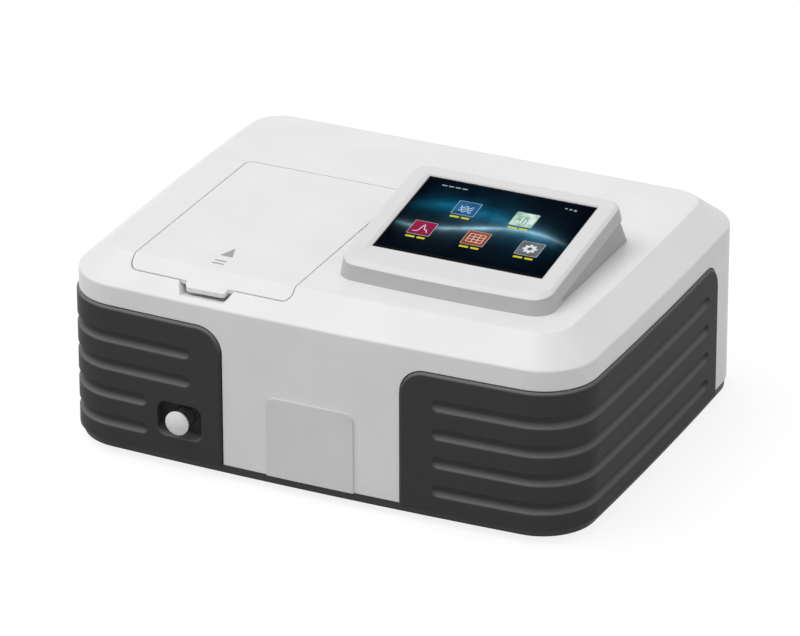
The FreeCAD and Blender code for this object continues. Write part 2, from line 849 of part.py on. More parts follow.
def arm(label, x):
    """A gooseneck that carries the lid round the edge of its opening."""
    half = "arm_bar / 2"
    foot_y, low = "(%s - arm_front)" % HINGE_Y, "(%s - arm_dip)" % HINGE_Z
    neck = prism(label + "_neck", "YZ", polygon([
        (HINGE_Y + " + " + half, HINGE_Z), (HINGE_Y + " - " + half, HINGE_Z),
        (HINGE_Y + " - " + half, low + " + " + half), (foot_y + " + " + half, low + " + " + half),
        (foot_y + " + " + half, TOP + " - lid_thickness"), (foot_y + " - " + half, TOP + " - lid_thickness"),
        (foot_y + " - " + half, low + " - " + half), (HINGE_Y + " + " + half, low + " - " + half)]),
        "%s - arm_width / 2" % x, "%s + arm_width / 2" % x)
    soften(neck, "Fillet", half, lambda edge: edge.BoundBox.XLength > 7
                           and middle(edge).z < number(low) - 2)
    boss = rod(label + "_boss", "x", "%s - arm_width / 2" % x, HINGE_Y, HINGE_Z, "pin_radius + 1.2",
               "arm_width")
    return [neck, boss]


left_arm_x, right_arm_x = "(%s - arm_spread / 2)" % WELL_X, "(%s + arm_spread / 2)" % WELL_X
arm_parts = arm("left_arm", left_arm_x) + arm("right_arm", right_arm_x)
pin_way = rod("pin_way", "x", "-body_width / 2", HINGE_Y, HINGE_Z, "pin_radius + pin_clearance",
              "body_width / 2")
case = case_skin("case_skin", "shell")
lid_skin = less("lid_skin", common("lid_sheet", [case, fuse("lid_outline_solid", [lid_prism, tab_prism])]),
                undercut)
keep(less("sample_lid", fuse("lid_with_arms", [lid_skin] + arm_parts), pin_way))

brackets, pins = [], []
for side, x in (("left", left_arm_x), ("right", right_arm_x)):
    inner, outer = "arm_width / 2 + ear_gap", "arm_width / 2 + ear_gap + ear_thickness"
    plate = block(side + "_bracket_plate", "%s - (%s)" % (x, outer), "%s + (%s)" % (x, outer),
                  HINGE_Y + " - 7", HINGE_Y + " + 8", TOP + " - shell - 1.5", TOP + " - shell")
    ears = [block(side + "_ear_%d" % way, "%s + %d * (%s) - ear_thickness / 2" % (
        x, way, "arm_width / 2 + ear_gap + ear_thickness / 2"), "%s + %d * (%s) + ear_thickness / 2" % (
        x, way, "arm_width / 2 + ear_gap + ear_thickness / 2"), HINGE_Y + " - 5", HINGE_Y + " + 5",
        HINGE_Z + " - 5", TOP + " - shell - 1.5") for way in (-1, 1)]
    bore = rod(side + "_ear_bore", "x", "%s - 10" % x, HINGE_Y, HINGE_Z, "pin_radius", "20")
    brackets.append(less(side + "_bracket", fuse(side + "_bracket_solid", [plate] + ears), bore))
    pins.append(rod(side + "_pin", "x", "%s - (%s)" % (x, outer), HINGE_Y, HINGE_Z, "pin_radius",
                    "2 * (%s)" % outer))
keep(group("hinge_brackets", brackets))
keep(group("hinge_pins", pins))

# ---------------------------------------------------------------- housing
scoop_middle = "(%s - 1.4)" % WELL_X
scoop_low = "(%s - lid_drop - scoop_drop)" % TOP


def scoop_section(owner, y, fall):
    """The scoop seen from the front: wider above than below."""
    low = "%s - %s" % (scoop_low, fall)
    return sketch_on(owner, "XZ", y, [polygon([
        (scoop_middle + " - scoop_bottom_width / 2", low), (scoop_middle + " + scoop_bottom_width / 2", low),
        (scoop_middle + " + scoop_top_width / 2", TOP + " - lid_drop"),
        (scoop_middle + " + scoop_top_width / 2", TOP + " + 1"),
        (scoop_middle + " - scoop_top_width / 2", TOP + " + 1"),
        (scoop_middle + " - scoop_top_width / 2", TOP + " - lid_drop")])])


scoop = body("scoop")
scoop_loft = scoop.newObject("PartDesign::AdditiveLoft", "scoop_loft")
scoop_loft.Profile = scoop_section(scoop, FRONT + " - 7", "(-3)")
scoop_loft.Sections = [scoop_section(scoop, "well_front - 9", "4.5")]
scoop_loft.Ruled = True
scoop_block = fuse("scoop_block", [
    common("scoop_walls", [case_solid("scoop_fill"), block(
        "scoop_range", scoop_middle + " - scoop_top_width / 2 - scoop_wall",
        scoop_middle + " + scoop_top_width / 2 + scoop_wall", FRONT + " - 10", "well_front - 7",
        scoop_low + " - 7", scoop_low + " + 3.8")]),
    block("scoop_back", scoop_middle + " - scoop_top_width / 2 - scoop_wall",
          scoop_middle + " + scoop_top_width / 2 + scoop_wall", "well_front - 9", "well_front - 7",
          scoop_low + " - 7", scoop_low + " + lid_drop - 0.4")])
rear_hole = prism("rear_window", "XZ", rounded_rectangle(
    "rear_left", "rear_left + rear_width", "rear_bottom", "rear_bottom + rear_height", "rear_corner"),
    BACK + " - shell - 1", BACK + " + 1")
cable_hole = block("pod_cable_hole", "pod_x - 30", "pod_x + 30", "-50", "-20", TOP + " - shell - 1",
                   TOP + " + 1")
windows = corner_masks("window", "panel_seam")
right_window = common("right_window", windows)
openings = fuse("housing_openings", [right_window, mirrored("left_window", right_window), lid_hole, rear_hole,
                                     cable_hole])
opened = less("housing_opened", case, openings)
keep(less("upper_housing", fuse("housing_scooped", [opened, scoop_block]), scoop))

plate_ring = band("plate_band", "-plate_proud", "0", SKIRT, SKIRT + " + plate_height")
plate_mask = prism("plate_mask", "XZ", rounded_rectangle(
    "-plate_half_width", "plate_half_width", "-60", SKIRT + " + plate_height", "plate_corner"),
    "-body_depth", "0")
keep(common("front_plate", [plate_ring, plate_mask]))

# ---------------------------------------------------------------- tray and feet
tray = body("base_tray")
add(tray, "XY", [wall_outline("tray_inset")], "foot_height", SKIRT)
cut(tray, "XY", [wall_outline("tray_inset + tray_rim")], FLOOR, SKIRT + " + 1")
spots = [("-foot_reach_x", "-foot_reach_y"), ("foot_reach_x", "-foot_reach_y"),
         ("foot_reach_x", "foot_reach_y"), ("-foot_reach_x", "foot_reach_y")]
cut(tray, "XY", [circle(x, y, "foot_screw_radius") for x, y in spots], "0", SKIRT)
keep(tray)
feet = body("rubber_feet")
add(feet, "XY", [circle(x, y, "foot_radius") for x, y in spots]
    + [circle(x, y, "foot_screw_radius") for x, y in spots], "0", "foot_height")
soften(feet, "Chamfer", "1", lambda edge: middle(edge).z < 0.1 and edge.Length > 50)
cut(feet, "XY", [circle(x, y, "foot_dish_radius") for x, y in spots], "0", "foot_dish_depth")
keep(feet)
screws = body("case_screws")
add(screws, "XY", [circle(x, y, "foot_dish_radius - 0.5") for x, y in spots], "foot_dish_depth - 1.5",
    "foot_dish_depth")
add(screws, "XY", [circle(x, y, "foot_screw_radius") for x, y in spots], "foot_dish_depth", FLOOR + " - 0.5")
keep(screws)

# ---------------------------------------------------------------- sample compartment
well_left, well_right = "(%s - well_width / 2)" % WELL_X, "(%s + well_width / 2)" % WELL_X
flange_top = "(%s - flange_top_drop)" % TOP
well = body("sample_well")
add(well, "XY", [rounded_rectangle(well_left, well_right, "well_front", "well_rear", "4")], BENCH_TOP,
    flange_top)
add(well, "XY", [rounded_rectangle(well_left + " - 18", well_right + " + 18", "well_front - 6",
                                   "well_rear + 23", "4")], flange_top + " - well_flange", flange_top)
cut(well, "XY", [rounded_rectangle(well_left + " + well_wall", well_right + " - well_wall",
                                   "well_front + well_wall", "well_rear - well_wall", "3")],
    BENCH_TOP + " + well_wall", flange_top + " + 1")
cut(well, "XY", [rectangle("%s - arm_width / 2 - 2" % x, "%s + arm_width / 2 + 2" % x, "well_rear + 1",
                           "well_rear + 30") for x in (left_arm_x, right_arm_x)],
    flange_top + " - 5", flange_top + " + 1")
cut(well, "YZ", [circle(BEAM_Y, BEAM_Z, "window_radius")], well_left + " - 1", well_right + " + 1")
rail_left, rail_right = "(%s - rail_spread / 2)" % WELL_X, "(%s + rail_spread / 2)" % WELL_X
cut(well, "XZ", [circle(rail_left, ROD_Z, "rail_radius"), circle(rail_right, ROD_Z, "rail_radius")],
    "well_front - 1", "well_rear + 1")
cut(well, "XZ", [circle("rod_x", ROD_Z, "rod_radius + 0.6")], "well_front - 1", "0")
keep(well)

gasket = body("lid_gasket")
add(gasket, "XY", [rounded_rectangle(well_left + " - 8", well_right + " + 8", "well_front", "well_rear", "6"),
                   rounded_rectangle(well_left + " - 8 + gasket_width", well_right + " + 8 - gasket_width",
                                     "well_front + gasket_width", "well_rear - gasket_width", "3")],
    flange_top, TOP + " - lid_thickness - gasket_gap")
keep(gasket)
keep(group("beam_windows", [rod("left_beam_window", "x", well_left, BEAM_Y, BEAM_Z, "window_radius", "well_wall"),
                            rod("right_beam_window", "x", well_right + " - well_wall", BEAM_Y, BEAM_Z,
                                "window_radius", "well_wall")]))
keep(group("carriage_rails", [
    rod("left_rail", "y", rail_left, "well_front", ROD_Z, "rail_radius", "well_rear - well_front"),
    rod("right_rail", "y", rail_right, "well_front", ROD_Z, "rail_radius", "well_rear - well_front")]))

# ---------------------------------------------------------------- carriage, cells and pull rod
carriage_front = "(carriage_rear - carriage_length)"
carriage_low, carriage_top = "(%s - carriage_thickness / 2)" % ROD_Z, "(%s + carriage_thickness / 2)" % ROD_Z
cell_rows = ["(%s + %d * cell_pitch)" % (BEAM_Y, row) for row in range(4)]
half_slot, half_cell = "cell_slot / 2", "(cell_slot / 2 - cell_clearance)"
carriage = body("cell_carriage")
add(carriage, "XY", [rectangle(WELL_X + " - carriage_width / 2", WELL_X + " + carriage_width / 2",
                               carriage_front, "carriage_rear")], carriage_low, carriage_top)
add(carriage, "XY", [rectangle(
    "%s - %s - holder_wall" % (WELL_X, half_slot), "%s + %s + holder_wall" % (WELL_X, half_slot),
    "%s - %s - holder_wall" % (cell_rows[0], half_slot), "%s + %s + holder_wall" % (cell_rows[3], half_slot))],
    carriage_top, carriage_top + " + holder_height")
cut(carriage, "XY", [rectangle("%s - %s" % (WELL_X, half_slot), "%s + %s" % (WELL_X, half_slot),
                               "%s - %s" % (row, half_slot), "%s + %s" % (row, half_slot))
                     for row in cell_rows], carriage_top + " + 2", carriage_top + " + holder_height + 1")
cut(carriage, "YZ", [circle(row, BEAM_Z, "beam_radius") for row in cell_rows], WELL_X + " - 20",
    WELL_X + " + 20")
cut(carriage, "XZ", [circle(rail_left, ROD_Z, "rail_radius + rod_clearance"),
                     circle(rail_right, ROD_Z, "rail_radius + rod_clearance")], carriage_front + " - 1",
    "carriage_rear + 1")
cut(carriage, "XZ", [circle("rod_x", ROD_Z, "rod_radius")], carriage_front + " - 1", carriage_front + " + 12")
soften(carriage, "Chamfer", "1.5", lambda edge: upright(edge) and abs(
    abs(middle(edge).x - number(WELL_X)) - number("carriage_width / 2")) < 0.1)
keep(carriage)

cells_node = body("cuvettes")
add(cells_node, "XY", [rectangle("%s - %s" % (WELL_X, half_cell), "%s + %s" % (WELL_X, half_cell),
                                 "%s - %s" % (row, half_cell), "%s + %s" % (row, half_cell))
                       for row in cell_rows], carriage_top + " + 2", carriage_top + " + 2 + cell_glass_height")
cut(cells_node, "XY", [rectangle(
    "%s - %s + cell_glass_wall" % (WELL_X, half_cell), "%s + %s - cell_glass_wall" % (WELL_X, half_cell),
    "%s - %s + cell_glass_wall" % (row, half_cell), "%s + %s - cell_glass_wall" % (row, half_cell))
    for row in cell_rows], carriage_top + " + 4", carriage_top + " + 3 + cell_glass_height")
keep(cells_node)

knob_front = "(%s - knob_reach)" % FRONT
pull_rod = rod("pull_rod", "y", "rod_x", knob_front + " + 3", ROD_Z, "rod_radius",
               "%s + 12 - (%s + 3)" % (carriage_front, knob_front))
keep(pull_rod)
knob = body("knob_turning")
turned(knob, "XY", [
    ("rod_radius", knob_front + " + 3"), ("0", knob_front + " + 3"), ("0", knob_front),
    ("knob_radius", knob_front), ("knob_radius", knob_front + " + knob_rim"),
    ("rod_radius + 3", knob_front + " + knob_neck"), ("rod_radius + 3", knob_front + " + knob_length"),
    ("rod_radius", knob_front + " + knob_length")], "V_Axis")
soften(knob, "Fillet", "knob_edge", lambda edge: abs(edge.Length - 2 * math.pi * number("knob_radius")) < 0.5
       and middle(edge).y > number(knob_front) + 1)
place(knob, "rod_x", "0", ROD_Z)
keep(common("rod_knob", [knob, ball("knob_dome", "rod_x", knob_front + " + knob_dome_radius", ROD_Z,
                                    "knob_dome_radius")]))
recess_floor = "(%s + recess_depth)" % PANEL_FACE
bush = body("rod_bush")
turned(bush, "XY", [
    ("rod_radius + rod_clearance", recess_floor + " - bush_flange"),
    ("bush_radius - 1", recess_floor + " - bush_flange"), ("bush_radius", recess_floor + " - bush_flange + 1"),
    ("bush_radius", recess_floor), ("bush_neck_radius", recess_floor),
    ("bush_neck_radius", recess_floor + " + recess_wall + 6"),
    ("rod_radius + rod_clearance", recess_floor + " + recess_wall + 6")], "V_Axis")
place(bush, "rod_x", "0", ROD_Z)
keep(bush)

# ---------------------------------------------------------------- display pod


def tilt(thing):
    """Put a thing drawn in the pod's own frame on the case: x across, y up the slope, z outwards."""
    thing.Placement = FreeCAD.Placement(vector(0, 0), FreeCAD.Rotation(vector(1, 0, 0), 1))
    bind(thing, "Placement.Rotation.Angle", "screen_tilt")
    place(thing, "pod_x", "pod_front", TOP + " + pod_front_height")
    return thing


def pod_outline(depth, inset, front_inset=""):
    """The pod's plan at a depth below its top plane, moved inwards."""
    front_inset = front_inset or inset
    half = "(pod_half_width + pod_side_draft * %s / pod_band - (%s))" % (depth, inset)
    front = "(pod_front_draft * %s / pod_band - (%s))" % (depth, front_inset)
    rear = "(pod_length + pod_side_draft * %s / pod_band - (%s))" % (depth, inset)
    return rounded_loop(
        bowed("0", "pod_bow_radius - " + front, "pod_bow_radius"), straight("x", half), straight("y", rear),
        straight("x", "-" + half), ["pod_front_corner - (%s)" % inset, "pod_rear_corner - (%s)" % inset,
                                 "pod_rear_corner - (%s)" % inset, "pod_front_corner - (%s)" % inset])


pod = body("pod_form")
below = "(pod_band + pod_sink)"
loft(pod, "Additive", [("-" + below, pod_outline(below, "0")), ("-0.7 * pod_chamfer",
     pod_outline("(0.7 * pod_chamfer)", "0"))])
loft(pod, "Additive", [("-0.7 * pod_chamfer", pod_outline("(0.7 * pod_chamfer)", "0")),
                       ("0", pod_outline("0", "pod_chamfer", "pod_chamfer * 1.8"))])
loft(pod, "Subtractive", [
    ("-(%s + 1)" % below, pod_outline("(%s + 1)" % below, "pod_wall")),
    ("-(2 * pod_wall)", pod_outline("(2 * pod_wall)", "pod_wall"))])
loft(pod, "Subtractive", [
    ("-(2 * pod_wall)", pod_outline("(2 * pod_wall)", "pod_wall")),
    ("-pod_deck", pod_outline("pod_deck", "pod_wall + pod_chamfer", "pod_wall + pod_chamfer * 1.8"))])
screen_opening = rounded_rectangle("-screen_half_width", "screen_half_width", "screen_front", "screen_rear",
                                   "screen_corner")
cut(pod, "XY", [screen_opening], "-pod_deck - 1", "bezel_land - pod_deck")
loft(pod, "Subtractive", [("bezel_land - pod_deck", screen_opening), ("0", rounded_rectangle(
    "-lip_half_width", "lip_half_width", "lip_front", "lip_rear", "lip_corner"))])
tilt(pod)
ground = block("pod_ground", "-body_width / 4", "body_width / 2", FRONT, BACK, TOP + " - 20", TOP)
behind = tilt(prism("pod_behind", "XY", rectangle("-body_width / 2", "body_width / 2", "apron_length",
                                                  "body_depth"), "-pod_band - 30", "-pod_band"))
keep(less("display_housing", pod, fuse("pod_under_tools", [ground, behind])))

slope = "tan(screen_tilt)"
contact_y = "(pod_front - pod_front_draft * cos(screen_tilt) + pod_band * sin(screen_tilt))"


def wedge_height(y):
    """The slab's bottom plane above the case, at a place along the depth."""
    return "(%s + (%s - %s) * %s)" % (TOP, y, contact_y, slope)


wedge_half = "(pod_half_width + pod_side_draft - wedge_inset)"
wedge = body("display_base")
add(wedge, "YZ", [polygon([
    ("wedge_front", TOP), ("wedge_rear_bottom", TOP), ("wedge_rear_top", wedge_height("wedge_rear_top")),
    ("wedge_front", wedge_height("wedge_front"))])], "pod_x - " + wedge_half, "pod_x + " + wedge_half)
soften(wedge, "Fillet", "wedge_corner", lambda edge: edge.BoundBox.XLength < 1
       and middle(edge).y > number("wedge_rear_top") and edge.BoundBox.ZLength > 5)
cut(wedge, "YZ", [polygon([
    ("wedge_front + pod_wall", TOP + " - 1"), ("wedge_rear_bottom - 2 * pod_wall", TOP + " - 1"),
    ("wedge_rear_top - 2 * pod_wall", wedge_height("wedge_rear_top") + " - pod_deck - 1"),
    ("wedge_front + pod_wall", wedge_height("wedge_front") + " - pod_deck")])],
    "pod_x - %s + pod_wall" % wedge_half, "pod_x + %s - pod_wall" % wedge_half)
cut(wedge, "XY", [rectangle("pod_x - 30", "pod_x + 30", "-50", "-20")], TOP + " + 3", TOP + " + 30")
keep(wedge)

glass = prism("touch_panel", "XY", rounded_rectangle(
    "-screen_half_width - 3", "screen_half_width + 3", "screen_front - 3", "screen_rear + 3", "2"),
    "-pod_deck - glass_thickness", "-pod_deck")
keep(tilt(glass))
lcd = prism("lcd_module", "XY", rectangle("-screen_half_width", "screen_half_width", "screen_front",
                                          "screen_rear"), "-pod_deck - glass_thickness - lcd_thickness",
            "-pod_deck - glass_thickness")
keep(tilt(lcd))
lcd_low = "(-pod_deck - glass_thickness - lcd_thickness)"
display_board = body("display_board")
add(display_board, "XY", [rectangle("-60", "60", "screen_front + 10", "screen_rear - 10")],
    lcd_low + " - board_thickness", lcd_low)
add(display_board, "XY", [rectangle("-12", "12", "screen_front + 30", "screen_front + 54"),
                          rectangle("25", "45", "screen_front + 30", "screen_front + 42"),
                          rectangle("-50", "-22", "screen_rear - 40", "screen_rear - 30")],
    lcd_low + " - board_thickness - 1.8", lcd_low + " - board_thickness")
keep(tilt(display_board))

# ---------------------------------------------------------------- optical bench
bench = body("optical_bench")
add(bench, "XY", [rounded_rectangle("bench_left", "bench_right", "bench_front", "bench_rear", "8")],
    "bench_bottom", BENCH_TOP)
post_spots = [(x, y) for x in ("bench_left + 12", "bench_right - 12")
              for y in ("bench_front + 12", "0", "bench_rear - 12")]
add(bench, "XY", [circle(x, y, "post_radius") for x, y in post_spots], FLOOR, "bench_bottom")
keep(bench)

detector_right = "(%s - 2)" % well_left
detector_left = "(%s - detector_size)" % detector_right
detector = body("detector_housing")
add(detector, "XY", [rectangle(detector_left, detector_right, BEAM_Y + " - detector_size / 2",
                               BEAM_Y + " + detector_size / 2")], BENCH_TOP, BENCH_TOP + " + 60")
cut(detector, "XY", [rectangle(detector_left + " + 2.5", detector_right + " - 2.5",
                               BEAM_Y + " - detector_size / 2 + 2.5", BEAM_Y + " + detector_size / 2 - 2.5")],
    BENCH_TOP + " + 2.5", BENCH_TOP + " + 57.5")
cut(detector, "YZ", [circle(BEAM_Y, BEAM_Z, "beam_radius + 1")], detector_right + " - 5",
    detector_right + " + 1")
keep(detector)
diode_x = "(%s + 2.5)" % detector_left
keep(fuse("photodiode", [
    block("diode_board", diode_x, diode_x + " + 1.6", BEAM_Y + " - 14", BEAM_Y + " + 14", BEAM_Z + " - 14",
          BEAM_Z + " + 14"),
    rod("diode_can", "x", diode_x + " + 1.6", BEAM_Y, BEAM_Z, "6", "7")]))

# ---------------------------------------------------------------- monochromator
mono_right, mono_rear = "(mono_left + mono_width)", "(mono_front + mono_depth)"
mono_top = "(%s + mono_height)" % BENCH_TOP
mono = body("mono_housing")
add(mono, "XY", [rectangle("mono_left", mono_right, "mono_front", mono_rear)], BENCH_TOP, mono_top)
cut(mono, "XY", [rectangle("mono_left + mono_wall", mono_right + " - mono_wall", "mono_front + mono_wall",
                           mono_rear + " - mono_wall")], BENCH_TOP + " + mono_wall", mono_top + " + 1")
cut(mono, "YZ", [circle(BEAM_Y, BEAM_Z, "beam_radius")], "mono_left - 1", "mono_left + mono_wall + 1")
cut(mono, "XZ", [circle("light_x", BEAM_Z, "beam_radius")], mono_rear + " - mono_wall - 1", mono_rear + " + 1")
keep(mono)
mono_cover = body("mono_cover")
add(mono_cover, "XY", [rectangle("mono_left", mono_right, "mono_front", mono_rear)], mono_top,
    mono_top + " + mono_lid")
cover_spots = [(x, y) for x in ("mono_left + 8", mono_right + " - 8")
               for y in ("mono_front + 8", mono_rear + " - 8")]
add(mono_cover, "XY", [circle(x, y, "3.5") for x, y in cover_spots], mono_top + " + mono_lid",
    mono_top + " + mono_lid + 2")
keep(mono_cover)

slit = body("entrance_slit")
add(slit, "XZ", [rectangle("light_x - slit_size / 2", "light_x + slit_size / 2", BEAM_Z + " - slit_size / 2",
                           BEAM_Z + " + slit_size / 2"),
                 rectangle("light_x - slit_half_gap", "light_x + slit_half_gap", BEAM_Z + " - 3.5",
                           BEAM_Z + " + 3.5")], mono_rear, mono_rear + " + slit_thickness")
keep(slit)
exit_slit = body("exit_slit")
add(exit_slit, "YZ", [rectangle(BEAM_Y + " - slit_size / 2", BEAM_Y + " + slit_size / 2",
                                BEAM_Z + " - slit_size / 2", BEAM_Z + " + slit_size / 2"),
                      rectangle(BEAM_Y + " - slit_half_gap", BEAM_Y + " + slit_half_gap", BEAM_Z + " - 3.5",
                                BEAM_Z + " + 3.5")], "mono_left - slit_thickness", "mono_left")
keep(exit_slit)


def mirror(label, x, y, turn):
    """A round mirror in a block on the floor of the monochromator, facing the way turn gives."""
    base = block(label + "_block", "-14", "14", "0", "mirror_block", "-%s + %s + mono_wall" % (BEAM_Z, BENCH_TOP),
                 "mirror_radius + 2")
    disc = rod(label + "_disc", "y", "0", "-mirror_thickness", "0", "mirror_radius", "mirror_thickness")
    dish = ball(label + "_dish", "0", "-mirror_thickness - 118", "0", "120")
    whole = less(label, fuse(label + "_solid", [base, disc]), dish)
    whole.Placement = FreeCAD.Placement(vector(0, 0), FreeCAD.Rotation(vector(0, 0, 1), 1))
    bind(whole, "Placement.Rotation.Angle", turn)
    place(whole, x, y, BEAM_Z)
    return keep(whole)


mirror("collimating_mirror", "light_x", "mono_front + mono_wall + 15", "168")
mirror("focusing_mirror", mono_right + " - mono_wall - 18", BEAM_Y + " - 14", "-106")

table_low = "(%s - grating_width / 2 - table_thickness)" % BEAM_Z
motor_top = "(%s + mono_wall + 15)" % BENCH_TOP
grating_motor = body("grating_motor")
add(grating_motor, "XY", [circle("grating_x", "grating_y", "14")], BENCH_TOP + " + mono_wall", motor_top)
cut(grating_motor, "XY", [circle("grating_x", "grating_y", "table_shaft + rod_clearance")], motor_top + " - 9",
    motor_top + " + 1")
keep(grating_motor)
keep(fuse("grating_table", [
    rod("table_disc", "z", "grating_x", "grating_y", table_low, "table_radius", "table_thickness"),
    rod("table_shaft_bar", "z", "grating_x", "grating_y", motor_top + " - 8", "table_shaft",
        "%s - (%s - 8)" % (table_low, motor_top))]))
keep(block("diffraction_grating", "grating_x - grating_width / 2", "grating_x + grating_width / 2",
           "grating_y - grating_thickness / 2", "grating_y + grating_thickness / 2",
           table_low + " + table_thickness", table_low + " + table_thickness + grating_width"))

# ---------------------------------------------------------------- filter wheel and lamp
wheel_z = "(%s + wheel_rise)" % BEAM_Z
wheel = body("filter_wheel")
add(wheel, "XZ", [circle("0", "0", "wheel_radius")] + [
    circle("wheel_rise * cos(%d)" % (60 * step - 90), "wheel_rise * sin(%d)" % (60 * step - 90),
           "filter_radius") for step in range(6)] + [circle("0", "0", "wheel_shaft")],
    "-wheel_thickness / 2", "wheel_thickness / 2")
add(wheel, "XZ", [circle("0", "0", "5"), circle("0", "0", "wheel_shaft")], "-wheel_thickness / 2 - 4",
    "-wheel_thickness / 2")
place(wheel, "light_x", "wheel_y", wheel_z)
keep(wheel)
filters = body("wheel_filters")
add(filters, "XZ", [circle("wheel_rise * cos(%d)" % (60 * step - 90), "wheel_rise * sin(%d)" % (60 * step - 90),
                           "filter_radius") for step in range(1, 6)], "-1", "1")
place(filters, "light_x", "wheel_y", wheel_z)
keep(filters)
wheel_shaft = rod("wheel_shaft", "y", "light_x", "wheel_y - wheel_thickness / 2 - 4", wheel_z,
                  "wheel_shaft", "wheel_thickness + 4 + 8")
keep(wheel_shaft)
motor_front = "(wheel_y + wheel_thickness / 2 + 2)"
keep(less("filter_motor", fuse("filter_motor_solid", [
    rod("filter_motor_can", "y", "light_x", motor_front, wheel_z, "motor_radius", "motor_length"),
    block("filter_motor_post", "light_x - motor_radius - 6", "light_x - motor_radius + 1", motor_front + " + 3",
          motor_front + " + 15", BENCH_TOP, wheel_z + " + 6")]),
    rod("filter_motor_bore", "y", "light_x", motor_front + " - 1", wheel_z, "wheel_shaft + rod_clearance",
        "8")))

lamp_left, lamp_right = "(light_x - lamp_box / 2)", "(light_x + lamp_box / 2)"
lamp_rear, lamp_top = "(lamp_front + lamp_box)", "(%s + lamp_box_height)" % BENCH_TOP
lamp_y = "(lamp_front + lamp_box / 2)"
lamp_house = body("lamp_house")
add(lamp_house, "XY", [rectangle(lamp_left, lamp_right, "lamp_front", lamp_rear)], BENCH_TOP, lamp_top)
cut(lamp_house, "XY", [rectangle(lamp_left + " + lamp_wall", lamp_right + " - lamp_wall",
                                 "lamp_front + lamp_wall", lamp_rear + " - lamp_wall")],
    BENCH_TOP + " + lamp_wall", lamp_top + " - lamp_wall")
cut(lamp_house, "XZ", [circle("light_x", BEAM_Z, "lens_radius")], "lamp_front - 1",
    "lamp_front + lamp_wall + 1")
cut(lamp_house, "XY", [rectangle(lamp_left + " + 10 + %d * 9" % slot, lamp_left + " + 14 + %d * 9" % slot,
                                 "lamp_front + 10", lamp_rear + " - 10") for slot in range(5)],
    lamp_top + " - lamp_wall - 1", lamp_top + " + 1")
keep(lamp_house)
keep(common("condenser_lens", [
    rod("lens_rim", "y", "light_x", "lamp_front - 1", BEAM_Z, "lens_radius", "lens_thickness + 1"),
    ball("lens_front", "light_x", "lamp_front + 20", BEAM_Z, "21"),
    ball("lens_back", "light_x", "lamp_front + lens_thickness - 21", BEAM_Z, "21")]))
socket_top = "(%s - 10)" % BEAM_Z
keep(fuse("lamp_socket", [
    rod("socket_body", "z", "light_x", lamp_y, BENCH_TOP + " + lamp_wall", "socket_radius",
        "%s - %s - lamp_wall" % (socket_top, BENCH_TOP)),
    rod("socket_flange", "z", "light_x", lamp_y, BENCH_TOP + " + lamp_wall", "socket_radius + 5", "3")]))
lamp = body("tungsten_lamp")
turned(lamp, "XZ", [("0", socket_top), ("4.5", socket_top), ("4.5", socket_top + " + 5"),
                    ("bulb_radius", socket_top + " + 6"), ("bulb_radius", socket_top + " + bulb_length - 4"),
                    ("bulb_radius / 2", socket_top + " + bulb_length - 0.6"),
                    ("0", socket_top + " + bulb_length")], "V_Axis")
place(lamp, "light_x", lamp_y, "0")
keep(lamp)

# ---------------------------------------------------------------- electronics
main_board = body("main_board")
board_low = "(%s + standoff_height)" % FLOOR
board_box = ["main_board_x - main_board_width / 2", "main_board_x + main_board_width / 2",
             "main_board_y - main_board_depth / 2", "main_board_y + main_board_depth / 2"]
add(main_board, "XY", [rectangle(*board_box)], board_low, board_low + " + board_thickness")
add(main_board, "XY", [circle(x, y, "standoff_radius") for x, y in [
    (x, y) for x in (board_box[0] + " + 6", board_box[1] + " - 6")
    for y in (board_box[2] + " + 6", board_box[3] + " - 6")]], FLOOR, board_low)
chip_low = "(%s + board_thickness)" % board_low
for left, right, front, back, tall in (("-16", "16", "-16", "16", "2.5"), ("24", "38", "-40", "-20", "2.2"),
                                       ("-38", "-22", "-48", "-38", "9"), ("-8", "12", "34", "44", "6"),
                                       ("-38", "-30", "0", "40", "8"), ("26", "36", "20", "50", "12"),
                                       ("-4", "20", "-54", "-48", "7")):
    add(main_board, "XY", [rectangle("main_board_x + " + left, "main_board_x + " + right,
                                     "main_board_y + " + front, "main_board_y + " + back)], chip_low,
        chip_low + " + " + tall)
keep(main_board)
supply = body("power_supply")
supply_box = ["supply_x - supply_width / 2", "supply_x + supply_width / 2", "supply_y - supply_depth / 2",
              "supply_y + supply_depth / 2"]
add(supply, "XY", [rectangle(*supply_box)], FLOOR, FLOOR + " + supply_height")
cut(supply, "XY", [rectangle("supply_x - 40", "supply_x + 40", "supply_y - 36 + %d * 12" % row,
                             "supply_y - 31 + %d * 12" % row) for row in range(7)],
    FLOOR + " + supply_height - 1.2", FLOOR + " + supply_height + 1")
cut(supply, "XY", [rectangle("supply_x - 40", "supply_x + 40", supply_box[2] + " - 1", supply_box[2] + " + 12")],
    FLOOR + " + 24", FLOOR + " + supply_height + 1")
add(supply, "XY", [rectangle("supply_x - 36 + %d * 12" % row, "supply_x - 27 + %d * 12" % row,
                             supply_box[2] + " + 2", supply_box[2] + " + 11") for row in range(6)],
    FLOOR + " + 24", FLOOR + " + 32")
keep(supply)

